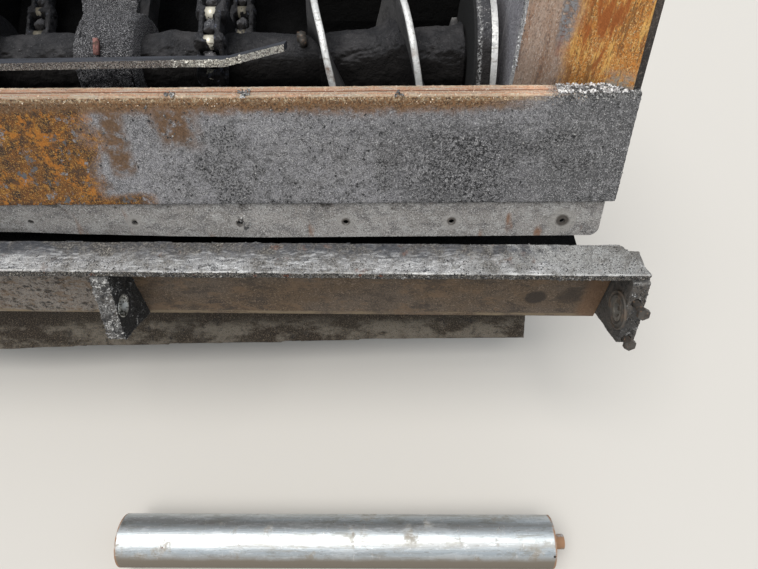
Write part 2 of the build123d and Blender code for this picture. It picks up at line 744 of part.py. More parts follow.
def across_face(sketch, x, run, out, depth):
    """Bar square to the ears' front face, running outwards from a point at a depth."""
    y, z = place(*on_face(run, out))
    return extrude(Plane((x, y, z), z_dir=(0, -out_of_face[0], out_of_face[1])) * sketch, amount=depth)


# Columns: name, lower x, reach of the rear edge; the centre ear's bearing is missing
ear_table = (("left", -beam_half_length, back_rear),
             ("centre", centre_ear_x - ear_thickness / 2, back_reach),
             ("right", bay_end, back_rear))
for name, x_low, rear in ear_table:
    body = ear(x_low, rear)
    if name != "centre":
        bolts = []
        x = x_low + ear_thickness / 2
        for pitches, stand_out in cap_bolt_table:
            run = bolt_run + pitches * cap_bolt_pitch
            hole_length = cap_bolt_depth + cut_margin
            body -= across_face(Circle(cap_bolt_radius), x, run, -cap_bolt_depth, hole_length)
            under_head = stand_out - cap_bolt_head
            shank_length = cap_bolt_depth - cap_bolt_head
            shank = across_face(Circle(cap_bolt_radius), x, run, under_head - shank_length, shank_length)
            head = across_face(RegularPolygon(cap_bolt_head_radius, 6), x, run, under_head, cap_bolt_head)
            bolts.append(skewed(shank + head))
        keep("cap_bolts_" + name, Compound(children=bolts))
        inner = (x_low - bearing_stand_out, x_low + ear_thickness)
        if name == "left":
            inner = (x_low, x_low + ear_thickness + bearing_stand_out)
        bush = ring(bearing_radius, bearing_bore_radius, *inner, roller_reach, roller_height)
        keep("bearing_" + name, skewed(bush))
    keep("ear_" + name, skewed(body))

# Spill plate, hung from the rails behind the beam, its foot bent forwards unevenly
spill_reach = back_rear - spill_set_back


def spill_station(x, ahead):
    """Corners of the spill plate's section, its front side first."""
    bend = atan2(ahead, spill_bend_height - spill_foot_height)
    kink = spill_plate_thickness * tan(bend / 2)
    foot = (spill_reach + ahead, spill_foot_height)
    foot_rear = (foot[0] - spill_plate_thickness * cos(bend), foot[1] - spill_plate_thickness * sin(bend))
    rear = spill_reach - spill_plate_thickness
    corners = [(spill_reach, rail_low), (spill_reach, spill_bend_height), foot, foot_rear,
               (rear, spill_bend_height - kink), (rear, rail_low)]
    return [Vector(x, *place(*c)) for c in corners]


keep("spill_plate", faceted([spill_station(x, ahead) for x, ahead in spill_foot_table]))

# Push roller on the ground, with its stub, the other stub's socket and its plug holes
roller_rest_reach = beam_front_reach + roller_rest_ahead
roller_turning = Axis((roller_left_x, -roller_rest_reach, 0), (0, 0, 1))
socket_radius = roller_stub_radius + seat_gap
body_end = roller_left_x + roller_length
at_rest = (roller_rest_reach, roller_radius)
roller = along_x(roller_radius, roller_left_x, body_end, *at_rest)
roller += along_x(roller_stub_radius, body_end, body_end + roller_stub_length, *at_rest)
roller -= along_x(socket_radius, roller_left_x, roller_left_x + roller_socket_depth, *at_rest)
plug_angle = radians(roller_plug_phase)
plug_plane_turn = (0, -cos(plug_angle), sin(plug_angle))
inner_core = along_x(roller_radius - roller_wall, roller_left_x, body_end, *at_rest)
for x in (roller_left_x + roller_plug_inset, body_end - roller_plug_inset):
    plug = Plane((x, *place(*at_rest)), z_dir=plug_plane_turn) * Circle(roller_plug_radius)
    roller -= extrude(plug, amount=2 * roller_radius) - inner_core
keep("push_roller", roller.rotate(roller_turning, -roller_turn))

for name, shape in nodes.items():
    export_step(shape, f"parts/{name}.step")
print(len(nodes), "nodes")
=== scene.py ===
import functools
import json
import random
from math import atan2, cos, degrees, exp, hypot, pi, radians, sin

import bmesh
import bpy
from mathutils import Matrix, Vector, noise


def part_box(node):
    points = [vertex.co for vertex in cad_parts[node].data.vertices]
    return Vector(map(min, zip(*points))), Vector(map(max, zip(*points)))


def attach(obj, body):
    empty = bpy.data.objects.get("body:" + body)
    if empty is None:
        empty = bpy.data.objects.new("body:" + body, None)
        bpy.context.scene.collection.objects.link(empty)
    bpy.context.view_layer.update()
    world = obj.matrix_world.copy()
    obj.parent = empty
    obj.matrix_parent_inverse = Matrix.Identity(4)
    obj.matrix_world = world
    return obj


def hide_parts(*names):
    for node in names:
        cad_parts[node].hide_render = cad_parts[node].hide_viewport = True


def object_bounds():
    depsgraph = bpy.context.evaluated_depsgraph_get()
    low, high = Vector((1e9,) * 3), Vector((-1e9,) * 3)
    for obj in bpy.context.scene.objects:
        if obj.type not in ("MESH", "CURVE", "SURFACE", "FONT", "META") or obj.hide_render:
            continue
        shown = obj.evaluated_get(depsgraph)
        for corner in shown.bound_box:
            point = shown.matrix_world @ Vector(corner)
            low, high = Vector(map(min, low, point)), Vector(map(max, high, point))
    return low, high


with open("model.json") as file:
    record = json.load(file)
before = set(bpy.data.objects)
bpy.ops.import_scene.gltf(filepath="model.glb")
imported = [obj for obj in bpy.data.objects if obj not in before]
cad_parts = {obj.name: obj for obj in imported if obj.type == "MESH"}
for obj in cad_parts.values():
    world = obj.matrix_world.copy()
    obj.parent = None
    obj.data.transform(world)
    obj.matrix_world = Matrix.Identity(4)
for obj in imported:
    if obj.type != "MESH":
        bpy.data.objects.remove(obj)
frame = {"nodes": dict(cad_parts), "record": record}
cad_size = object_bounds()
nodes = frame["nodes"]

# Places and sizes are in metres in the part's frame: x to the right in the photograph, y rearwards, z up.
# Phases are degrees about the auger's axis: 0 is forwards, 90 is up.
ground = -0.8
axis = Vector((0.0, -0.65, 0.055))
shaft_radius = 0.070
rim_radius = 0.1897
# The beam stands askew: its y falls by this for each metre of x
beam_skew = 0.0192
bore_y, bore_z = -1.212, -0.272
lip_top, lip_front, lip_back = 0.200, -1.0165, -0.9905
# The apron's lip is clean to the left of this x and covered in stones to the right
lip_end = 1.05
beam_front, beam_underside = -1.2045, -0.1415
strip_hole_y, strip_hole_z = -1.105, -0.090
strip_hole_pitch = 0.254
strip_end_hole_x, strip_next_hole_x = 1.104, 0.838
even = (1, 1, 1)


# Materials
class Paint:
    """A procedural material built in layers. Masks are sockets from 0 to 1, heights are in mm."""

    def __init__(self, name, colour, rough, metal=0.0):
        self.mat = bpy.data.materials.new(name)
        self.mat.use_nodes = True
        self.tree = self.mat.node_tree
        self.tree.nodes.clear()
        self.coord = self.node("TexCoord").outputs["Object"]
        split = self.node("SeparateXYZ", Vector=self.coord)
        self.axes = {"x": split.outputs[0], "y": split.outputs[1], "z": split.outputs[2]}
        self.colour = (*colour, 1.0)
        self.rough = rough
        self.metal = metal
        self.height = 0.0
        self.gloss = 0.5

    def put(self, socket, value):
        if isinstance(value, bpy.types.NodeSocket):
            self.tree.links.new(value, socket)
        else:
            socket.default_value = value

    def node(self, kind, *values, **named):
        """New node, with values or links put in its first inputs and in those named."""
        node = self.tree.nodes.new("ShaderNode" + kind)
        for socket, value in zip(node.inputs, values):
            self.put(socket, value)
        for name, value in named.items():
            self.put(node.inputs[name.replace("_", " ")], value)
        return node

    def math(self, kind, *values):
        node = self.node("Math", *values)
        node.operation = kind
        return node.outputs[0]

    def vector_math(self, kind, *values):
        node = self.node("VectorMath", *values)
        node.operation = kind
        return node.outputs

    def noise(self, scale, detail=4, rough=0.6, stretch=even, shift=0):
        place = (shift, shift * 0.7, shift * 1.3)
        coord = self.node("Mapping", Vector=self.coord, Scale=stretch, Location=place).outputs[0]
        return self.node("TexNoise", Vector=coord, Scale=scale, Detail=detail, Roughness=rough).outputs[0]

    def cells(self, scale):
        """Distance from the middle of each of many cells."""
        return self.node("TexVoronoi", Vector=self.coord, Scale=scale).outputs["Distance"]

    def cut(self, value, low, high):
        """0 at low and 1 at high, whichever of the two is larger."""
        ends = (high, low, 1, 0) if low > high else (low, high, 0, 1)
        node = self.node("MapRange", value, *ends)
        node.interpolation_type = "SMOOTHSTEP"
        return node.outputs[0]

    def patch(self, scale, low, high, shift=0, detail=4, rough=0.6, stretch=even):
        """Patches of noise: 0 where it is below low, 1 where it is above high."""
        return self.cut(self.noise(scale, detail, rough, stretch, shift), low, high)

    def wander(self, value, wobble, scale, shift=0.0):
        """A distance that wanders to and fro by noise, for an uneven edge."""
        if not wobble:
            return value
        sway = self.math("SUBTRACT", self.noise(scale, shift=shift), 0.5)
        return self.math("MULTIPLY_ADD", sway, wobble, value)

    def along(self, name, low, high, wobble=0.0, scale=12.0, shift=0.0):
        """0 at low and 1 at high along an axis, with a wandering edge."""
        return self.cut(self.wander(self.axes[name], wobble, scale, shift), low, high)

    def span(self, name, rise, fall, wobble=0.0, scale=12.0):
        """1 between two places along an axis, each given as where it begins and ends to change."""
        return self.both(self.along(name, *rise, wobble, scale), self.along(name, *fall, wobble, scale))

    def near(self, point, inner, outer, wobble=0.0):
        """1 within a distance of a point and 0 beyond another."""
        away = self.vector_math("DISTANCE", self.coord, point)["Value"]
        return self.cut(self.wander(away, wobble, 30.0), outer, inner)

    def from_axis(self):
        """Distance from the auger's axis."""
        flat = self.vector_math("MULTIPLY_ADD", self.coord, (0, 1, 1), (0, -axis.y, -axis.z))["Vector"]
        return self.vector_math("LENGTH", flat)["Value"]

    def facing(self, way, low, high):
        """1 where the surface faces a way, 0 where it doesn't."""
        normal = self.node("TexCoord").outputs["Normal"]
        return self.cut(self.vector_math("DOT_PRODUCT", normal, way)["Value"], low, high)

    def both(self, *masks):
        return functools.reduce(functools.partial(self.math, "MULTIPLY"), masks)

    def either(self, *masks):
        return functools.reduce(functools.partial(self.math, "MAXIMUM"), masks)

    def mix(self, kind, mask, a, b):
        node = self.node("Mix", mask)
        node.data_type = kind
        first, second, result = {"RGBA": (6, 7, 2), "FLOAT": (2, 3, 0)}[kind]
        self.put(node.inputs[first], a)
        self.put(node.inputs[second], b)
        return node.outputs[result]

    def layer(self, mask, colour=None, rough=None, metal=None, height=None):
        """Put a colour, roughness, metal or height over what lies below. In a tuple, all masks count."""
        if isinstance(mask, tuple):
            mask = self.both(*mask)
        if colour is not None:
            self.colour = self.mix("RGBA", mask, self.colour, (*colour, 1.0))
        if rough is not None:
            self.rough = self.mix("FLOAT", mask, self.rough, rough)
        if metal is not None:
            self.metal = self.mix("FLOAT", mask, self.metal, metal)
        if height is not None:
            self.height = self.math("MULTIPLY_ADD", mask, height, self.height)

    def mottle(self, scale, dark, light, mask=1.0, shift=0.0, cover=0.51, lift=0.5, stretch=even):
        """Dark and light grains over what lies below, both finely broken up."""
        bright = self.patch(scale, cover, cover + 0.07, shift + 1, 4, 0.8, stretch)
        deep = self.patch(scale * 1.25, cover + 0.01, cover + 0.08, shift + 7, 4, 0.8, stretch)
        self.layer((bright, mask), light, height=lift)
        self.layer((deep, mask), dark, height=-lift)

    def done(self):
        bump = self.node("Bump", Strength=1, Distance=0.001, Height=self.height)
        surface = self.node("BsdfPrincipled", Base_Color=self.colour, Roughness=self.rough,
                            Metallic=self.metal, Specular_IOR_Level=self.gloss, Normal=bump.outputs[0])
        self.node("OutputMaterial", surface.outputs[0])
        return self.mat


materials = {}


def material(*base):
    """Make the material that the function below paints on its base, and name it after the function."""
    def make(paint):
        p = Paint(paint.__name__, *base)
        paint(p)
        materials[paint.__name__] = p.done()
    return make


def apron_dust(p):
    """Grey asphalt dust with darker, coarser areas, and two brown stains."""
    p.layer(p.patch(5, 0.4, 0.62, 0.4, 5), (0.255, 0.25, 0.265), 0.82)
    p.layer(p.patch(8, 0.5, 0.7, 7.4, 6), (0.165, 0.158, 0.158), 0.9)
    dark_area = p.both(p.along("x", 0.6, 0.85, 0.2, 5), p.along("x", 1.08, 0.9, 0.2, 5, 2),
                       p.along("z", 0.18, 0.1, 0.08, 9))
    p.layer(dark_area, (0.132, 0.13, 0.136), 0.92, height=0.5)
    p.layer(p.along("x", 0.98, 1.08, 0.15, 6), (0.105, 0.104, 0.107), 0.92)
    p.mottle(60, (0.085, 0.083, 0.086), (0.29, 0.285, 0.292), 0.75, lift=1)
    p.mottle(330, (0.022, 0.022, 0.024), (0.64, 0.63, 0.64), 0.9, 3, 0.53, 0.8)
    pits = p.both(dark_area, p.patch(170, 0.52, 0.58, 5.5, 3, 0.7))
    p.layer(pits, (0.018, 0.018, 0.02), 0.9, height=-2)
    clods = p.both(p.patch(7, 0.5, 0.6, 31, 5, 0.7), p.along("x", 0.18, 0.24, 0.1),
                   p.along("z", 0.16, 0.12, 0.1, 9))
    p.mottle(180, (0.014, 0.014, 0.016), (0.4, 0.395, 0.4), clods, 33, 0.5, 2)
    p.layer(p.patch(420, 0.68, 0.72, 9.1, 1, 0.5), (0.62, 0.61, 0.6), 0.6)
    stains = p.either(p.both(p.span("x", (0.055, 0.075), (0.125, 0.1), 0.05),
                             p.along("z", 0.02, 0.05, 0.03)),
                      p.both(p.along("x", 0.17, 0.2, 0.05), p.along("x", 0.3, 0.24, 0.06),
                             p.along("z", 0.07, 0.12, 0.06)))
    p.layer((stains, p.patch(60, 0.3, 0.55)), (0.165, 0.095, 0.052), 0.85, height=-0.4)


def apron_rust(p):
    """Orange rust on the left part, and a rusty band that runs under the lip."""
    under_lip = p.both(p.along("z", 0.15, 0.188, 0.035, 16), p.along("x", 0.98, 0.78, 0.2, 6))
    p.layer((under_lip, p.patch(70, 0.35, 0.62, 2.9, 5)), (0.215, 0.112, 0.055), 0.85)
    rust = p.either(p.along("x", 0.06, 0.01, 0.12, 14),
                    p.both(p.along("x", 0.16, 0.08, 0.08), p.along("z", -0.005, -0.028, 0.02)))
    flaked = p.both(rust, p.patch(24, 0.64, 0.58, 3.3, 6, 0.7))
    p.layer(flaked, (0.23, 0.09, 0.02), 0.88, height=-1)
    p.layer((flaked, p.patch(30, 0.48, 0.58, 8.3, 6, 0.75)), (0.062, 0.034, 0.022), 0.9, height=0.8)
    p.layer((flaked, p.patch(55, 0.53, 0.62, 1.3, 6, 0.8)), (0.56, 0.24, 0.03), 0.8, height=0.6)
    p.mottle(300, (0.022, 0.014, 0.01), (0.7, 0.4, 0.11), flaked, 9, 0.53, 0.9)
    p.mottle(26, (0.075, 0.045, 0.03), (0.62, 0.23, 0.028), p.both(flaked, 0.8), 13, 0.53, 0.6)
    p.layer((rust, p.patch(20, 0.6, 0.64, 21, 6, 0.75)), (0.15, 0.155, 0.165), 0.85)
    band = p.both(p.along("z", 0.164, 0.182, 0.03, 30), p.along("x", 1.02, 0.86, 0.1, 9))
    p.layer(band, (0.25, 0.128, 0.055), 0.85)
    p.mottle(190, (0.06, 0.036, 0.024), (0.42, 0.29, 0.17), band, 4, 0.52, 1.5)
    band = p.both(p.along("z", 0.186, 0.193, 0.01, 40), p.along("x", 1.04, 0.9, 0.1, 9))
    p.layer(band, (0.48, 0.27, 0.13), 0.85)
    p.mottle(200, (0.13, 0.07, 0.04), (0.9, 0.74, 0.5), band, 5, 0.5, 1.5)


def apron_lip(p):
    """Salmon top of the lip, with two lines along it, the dark one painted shade in a groove, pale edges
    that are painted highlights, and grey grit at its right end.
    """
    lip = p.along("z", lip_top - 0.0045, lip_top - 0.0005, 0.004, 60)
    clean = p.both(lip, p.along("x", lip_end + 0.05, lip_end - 0.05, 0.12, 9))
    p.layer(clean, (0.98, 0.56, 0.35), 0.8)
    p.layer((clean, p.patch(90, 0.48, 0.62, 4, 5, 0.7, (0.15, 1, 1))), (1, 0.83, 0.68), 0.75)
    p.layer((clean, p.patch(60, 0.56, 0.7, 6, 5, 0.7, (0.12, 1, 1))), (0.36, 0.16, 0.1), 0.85)
    p.mottle(230, (0.56, 0.28, 0.15), (1, 0.95, 0.85), clean, 12, 0.56, 0.3)
    # Painted highlights: pale lines along the lip's front and back edges.
    edges = p.either(p.along("y", lip_front + 0.002, lip_front - 0.002, 0.004, 60),
                     p.along("y", lip_back - 0.002, lip_back + 0.002, 0.004, 60))
    pale = p.both(clean, edges, p.patch(80, 0.4, 0.54, 14, 4, 0.7, (0.3, 1, 1)), 0.75)
    p.layer(pale, (1, 0.84, 0.62), 0.75)
    # Columns: where a line starts, where it ends, its colour. The dark line is painted shade in a groove.
    for start, end, colour in ((-1.003, -1.0062, (0.42, 0.17, 0.09)),
                               (-1.0082, -1.01, (0.9, 0.72, 0.54))):
        line = p.span("y", (start + 0.0008, start), (end - 0.0008, end), 0.003, 14)
        p.layer((clean, line), colour, 0.85)
    stony = p.both(lip, p.along("x", lip_end - 0.05, lip_end + 0.05, 0.12, 9))
    p.layer(stony, (0.3, 0.295, 0.29), 0.9, height=1)
    gritty = p.both(p.along("z", lip_top - 0.012, lip_top - 0.006, 0.006, 60),
                    p.along("x", lip_end - 0.07, lip_end + 0.01, 0.12, 9))
    p.mottle(200, (0.06, 0.058, 0.058), (0.76, 0.755, 0.745), gritty, 15, 0.49, 1.5)


@material((0.205, 0.201, 0.212), 0.86)
def rusty_apron(p):
    apron_dust(p)
    apron_rust(p)
    apron_lip(p)


@material((0.3, 0.282, 0.27), 0.82)
def dusty_strip(p):
    """Warm grey plate with stains round the empty holes, and dark patches of painted shadow along its top,
    under the apron's lower edge.
    """
    p.layer(p.patch(7, 0.42, 0.66, 0, 6), (0.205, 0.19, 0.178), 0.85)
    p.layer(p.patch(16, 0.56, 0.7, 2, 5, 0.7, (0.5, 1, 1)), (0.33, 0.315, 0.3), 0.75)
    p.mottle(34, (0.15, 0.141, 0.14), (0.37, 0.36, 0.35), 0.8, 2, stretch=(0.6, 1, 1))
    p.mottle(330, (0.05, 0.048, 0.047), (0.7, 0.69, 0.67), 0.9, 3, 0.53, 0.6)
    # Painted shadow: dark patches along the strip's top, under the apron's lower edge.
    shadowed_top = p.both(p.along("z", -0.066, -0.056, 0.016, 14), p.patch(14, 0.54, 0.62, 44, 5, 0.7))
    p.layer(shadowed_top, (0.06, 0.052, 0.045), 0.9)
    end_hole = (strip_end_hole_x, strip_hole_y, strip_hole_z)
    p.layer(p.near(end_hole, 0.022, 0.04, 0.02), (0.33, 0.315, 0.295), 0.8)
    p.layer(p.near(end_hole, 0.012, 0.02, 0.01), (0.075, 0.065, 0.056), 0.9)
    for i in range(5):
        hole = (strip_next_hole_x - strip_hole_pitch * i, strip_hole_y, strip_hole_z)
        p.layer(p.near(hole, 0.016, 0.028, 0.02), (0.33, 0.315, 0.3), 0.8)
        p.layer(p.near(hole, 0.009, 0.014, 0.008), (0.09, 0.078, 0.068), 0.9)
    p.layer(p.patch(20, 0.62, 0.74, 5, 3, 0.5, (1, 1, 0.15)), (0.23, 0.125, 0.075), 0.85)


def crusty(name, tone, shine, specks):
    """Black asphalt crust with a few grey stones in it, and painted shade on the faces that look forwards
    and down; fewer specks the nearer their limit is to 1.
    """
    p = Paint(name, (0.022 * tone, 0.022 * tone, 0.025 * tone), shine)
    p.gloss = min(0.5, 0.12 + 0.15 * tone)
    p.layer(p.patch(9, 0.42, 0.68, 0, 5), (0.055 * tone, 0.053 * tone, 0.056 * tone), 0.8)
    p.layer(p.cut(p.cells(190), 0, 0.55), height=1.4)
    p.layer(p.patch(160, 0.58, 0.7, 1.7, 3, 0.7), (0.075 * tone, 0.073 * tone, 0.075 * tone), 0.7,
            height=0.8)
    p.layer(p.patch(330, specks, specks + 0.05, 4.3, 2), (0.38 * tone, 0.37 * tone, 0.36 * tone), 0.4)
    p.layer(p.patch(40, 0.4, 0.6, 2.2, 5, 0.7), height=2.5)
    # Painted shade: near black where the surface faces forwards and down.
    p.layer(p.facing((0, -0.87, -0.5), 0.05, 0.5), (0.007 * tone, 0.006 * tone, 0.006 * tone), 0.9)
    return p


@material((0.048, 0.047, 0.052), 0.7)
def grey_crust(p):
    """Coarse grey crust on the shaft's hanger."""
    p.gloss = 0.35
    p.layer(p.patch(12, 0.42, 0.66, 0, 5), (0.052, 0.051, 0.055), 0.75)
    p.layer(p.cut(p.cells(260), 0, 0.6), height=1.3)
    p.layer(p.patch(330, 0.52, 0.58, 1.7, 3, 0.7), (0.25, 0.246, 0.262), 0.6, height=0.6)
    p.layer(p.patch(380, 0.6, 0.65, 4.3, 2), (0.52, 0.515, 0.52), 0.4)
    p.layer(p.patch(350, 0.52, 0.58, 9.3, 3, 0.7), (0.005, 0.005, 0.006), 0.8, height=-1.2)


def disc_crust():
    """Crust on the end discs' rims, with a pale line of painted glints along it."""
    p = crusty("disc_crust", 2.2, 0.7, 0.66)
    # Painted glints: a pale line with bright specks along the rim's crust.
    line = p.span("x", (0.8985, 0.904), (0.913, 0.907), 0.008, 40)
    p.layer((line, p.patch(190, 0.46, 0.6, 8, 3, 0.7)), (0.3, 0.3, 0.3), 0.6, height=0.8)
    p.layer((line, p.patch(150, 0.6, 0.66, 6, 2, 0.5)), (0.62, 0.62, 0.62), 0.4)
    return p.done()


# Stones. Columns: name, colour, roughness; scale, low, high, colour and roughness of the pale patches;
# scale, low, high and colour of the dark ones; height of the fine grain
stone_rows = (
    ("pale_stone", (0.86, 0.66, 0.46), 0.8, (70, 0.48, 0.58, (0.96, 0.88, 0.76), 0.7),
     (45, 0.54, 0.62, (0.3, 0.19, 0.12)), 0),
    ("grit_stone", (0.08, 0.078, 0.079), 0.85, (90, 0.54, 0.6, (0.42, 0.415, 0.405), 0.7),
     (60, 0.48, 0.56, (0.022, 0.022, 0.023)), 0),
    ("slat_grit", (0.52, 0.49, 0.42), 0.75, (90, 0.48, 0.56, (0.86, 0.83, 0.75), 0.6),
     (60, 0.54, 0.62, (0.11, 0.095, 0.08)), 0),
    ("pale_grit", (0.43, 0.425, 0.43), 0.75, (90, 0.48, 0.56, (0.86, 0.855, 0.85), 0.6),
     (60, 0.52, 0.6, (0.09, 0.088, 0.09)), 0),
    ("dark_stone", (0.17, 0.166, 0.163), 0.85, (90, 0.5, 0.6, (0.52, 0.51, 0.495), 0.7),
     (60, 0.5, 0.6, (0.04, 0.039, 0.04)), 0.3),
)


def stone(name, colour, rough, pale, dark, grain):
    p = Paint(name, colour, rough)
    scale, low, high, pale_colour, pale_rough = pale
    p.layer(p.patch(scale, low, high, 0, 3), pale_colour, pale_rough)
    scale, low, high, dark_colour = dark
    p.layer(p.patch(scale, low, high, 3, 3), dark_colour, 0.9)
    if grain:
        p.layer(p.patch(400, 0.5, 0.66, 0, 2), height=grain)
    return p.done()


@material((0.26, 0.12, 0.105), 0.7)
def rust_bar(p):
    p.layer(p.patch(110, 0.48, 0.62), (0.08, 0.045, 0.035), 0.9, height=0.5)


@material((0.38, 0.245, 0.172), 0.8)
def rusty_wall(p):
    """Wings: brown near the end plates, streaked orange rust towards the edge bars."""
    upright = (1, 1, 0.13)
    p.layer(p.patch(38, 0.42, 0.62, 1, 5, 0.7, upright), (0.48, 0.35, 0.275), 0.75)
    p.layer(p.patch(52, 0.54, 0.68, 8, 5, 0.7, upright), (0.33, 0.15, 0.07), 0.8)
    p.mottle(330, (0.14, 0.092, 0.07), (0.68, 0.57, 0.49), 0.75, 2, 0.53, 0.4, (1, 1, 0.4))
    p.mottle(60, (0.17, 0.12, 0.1), (0.43, 0.31, 0.24), 0.6, 22, 0.53, 0.4, (1, 1, 0.14))
    orange = p.along("x", 1.05, 1.085, 0.07, 9)
    p.layer(orange, (0.64, 0.25, 0.048), 0.85)
    # Columns: scale, low, high, detail, roughness, height stretch and shift of the patches; colour,
    # roughness and height of the layer
    for scale, low, high, detail, rough, tall, shift, colour, shine, height in (
            (120, 0.54, 0.66, 6, 0.8, 0.3, 3, (0.95, 0.54, 0.14), 0.8, 0.5),
            (80, 0.54, 0.68, 6, 0.8, 0.25, 6, (0.23, 0.09, 0.034), 0.9, -0.5),
            (150, 0.6, 0.7, 4, 0.8, 0.4, 10, (0.42, 0.35, 0.3), 0.85, 0.4),
            (70, 0.6, 0.7, 4, 0.75, 0.13, 12, (0.42, 0.33, 0.28), 0.85, None)):
        streaks = p.patch(scale, low, high, shift, detail, rough, (1, 1, tall))
        p.layer((orange, streaks), colour, shine, height=height)
    grey = p.both(p.patch(24, 0.6, 0.68, 9, 5, 0.7, (1, 1, 0.2)), p.along("x", 1.125, 1.105, 0.05, 9))
    p.layer(grey, (0.17, 0.165, 0.172), 0.9, height=1.2)
    p.mottle(330, (0.16, 0.07, 0.028), (1, 0.72, 0.33), orange, 14, 0.53, 0.5, (1, 1, 0.6))
    p.mottle(66, (0.26, 0.105, 0.03), (0.96, 0.56, 0.16), p.both(orange, 0.8), 24, 0.53, 0.5, (1, 1, 0.14))
    p.layer((orange, p.patch(20, 0.56, 0.64, 19, 5, 0.7, (1, 1, 0.2))), (0.44, 0.13, 0.026), 0.85)
    red_line = p.both(p.span("x", (1.04, 1.046), (1.055, 1.049), 0.012, 9),
                      p.patch(60, 0.44, 0.6, 21, 5, 0.7, (1, 1, 0.2)), 0.5)
    p.layer(red_line, (0.33, 0.13, 0.085), 0.8)
    grey_line = p.both(p.span("x", (1.032, 1.04), (1.066, 1.056), 0.014, 9), p.along("z", 0.24, 0.3, 0.05),
                       p.patch(130, 0.42, 0.56, 23, 4, 0.7))
    p.layer(grey_line, (0.29, 0.285, 0.295), 0.8, height=2)
    low_corner = p.both(p.along("x", 1.13, 1.16, 0.02), p.along("z", 0.25, 0.215, 0.03),
                        p.patch(80, 0.36, 0.56, 25, 4, 0.7))
    p.layer(low_corner, (0.38, 0.33, 0.27), 0.9)
    p.layer(p.patch(140, 0.45, 0.62, 0, 4, 0.7), height=0.5)


@material((0.034, 0.03, 0.028), 0.75, 0.1)
def edge_iron(p):
    p.layer(p.patch(30, 0.5, 0.66, 2, 5, 0.7, (1, 1, 0.13)), (0.07, 0.055, 0.046), 0.7)
    p.mottle(200, (0.012, 0.011, 0.01), (0.18, 0.155, 0.135), 0.8, 1, 0.53, 0.8)


@material((0.32, 0.308, 0.345), 0.6, 0.1)
def streaked_plate(p):
    """End plates: grey, polished in upright streaks, with a bright edge where they meet the wings."""
    p.layer(p.patch(44, 0.44, 0.66, 2, 5, 0.7, (1, 1, 0.12)), (0.37, 0.355, 0.39), 0.5, 0.2)
    p.mottle(200, (0.06, 0.056, 0.066), (0.76, 0.75, 0.79), 0.85, 7, 0.52, 1)
    polished = p.both(p.span("y", (-0.7, -0.716), (-0.745, -0.722), 0.02, 10),
                      p.patch(90, 0.42, 0.6, 4, 5, 0.7, (1, 1, 0.1)))
    p.layer(polished, (0.76, 0.75, 0.77), 0.4, 0.3)
    p.layer(p.patch(80, 0.64, 0.72, 4, 5, 0.7, (1, 1, 0.1)), (0.64, 0.63, 0.65), 0.4, 0.3)
    bright_edge = p.both(p.along("y", -0.854, -0.86, 0.012, 60), p.patch(150, 0.44, 0.52, 0, 4, 0.8))
    p.layer(bright_edge, (0.85, 0.84, 0.83), 0.7, 0.1, 2.5)
    p.layer(p.patch(120, 0.52, 0.66, 5, 4, 0.7), height=0.8)


@material((0.055, 0.058, 0.068), 0.55, 0.15)
def beam_steel(p):
    """Beam's top plate: dark worn steel, scuffed pale near its front edge, asphalt to the right."""
    p.layer(p.patch(10, 0.46, 0.66, 0, 6, 0.65, (0.5, 1, 1)), (0.085, 0.086, 0.096), 0.7)
    p.mottle(150, (0.018, 0.02, 0.026), (0.3, 0.305, 0.325), 0.7, 27, 0.55, 0.8, (0.4, 1, 1))
    p.axes["y"] = p.math("MULTIPLY_ADD", p.axes["x"], beam_skew, p.axes["y"])
    front = p.along("y", -1.135, -1.192, 0.1, 7)
    scuffs = p.patch(46, 0.36, 0.54, 3, 6, 0.75, (0.35, 1, 1))
    p.layer((front, scuffs), (0.52, 0.52, 0.532), 0.6)
    pale = p.both(p.along("y", -1.12, -1.196, 0.06, 9), p.patch(120, 0.5, 0.6, 8, 4, 0.75, (0.25, 1, 1)))
    p.layer(pale, (0.8, 0.805, 0.82), 0.5)
    p.mottle(300, (0.024, 0.024, 0.028), (0.96, 0.96, 0.96), front, 2, 0.53, 0.6)
    p.layer(p.patch(90, 0.62, 0.7, 5, 4, 0.7, (0.06, 1, 1)), (0.185, 0.19, 0.205), 0.5)
    tar = p.either(p.both(p.along("x", 0.8, 1.02, 0.5, 5), p.patch(13, 0.42, 0.56, 6, 6, 0.7)),
                   p.along("x", 1.06, 1.14, 0.1, 9))
    p.layer((tar, 0.8), (0.47, 0.468, 0.46), 0.85, height=1)
    p.mottle(300, (0.04, 0.04, 0.042), (0.95, 0.945, 0.93), tar, 11, 0.53, 0.9)
    bright_edge = p.both(p.along("y", beam_front + 0.002, beam_front - 0.002, 0.005, 40),
                         p.patch(60, 0.4, 0.54, 61, 4, 0.7, (0.3, 1, 1)))
    p.layer(bright_edge, (0.92, 0.915, 0.9), 0.6)
    lower = p.along("z", beam_underside + 0.002, beam_underside - 0.002, 0.003, 50)
    p.layer(lower, (0.135, 0.12, 0.104), 0.9)
    p.mottle(210, (0.02, 0.019, 0.019), (0.6, 0.56, 0.5), lower, 2, 0.5, 1.5)
    p.layer((lower, p.patch(26, 0.6, 0.68, 4, 5, 0.7)), (0.28, 0.105, 0.06), 0.85)
    p.layer(p.patch(170, 0.5, 0.7, 1, 3, 0.7), height=0.6)


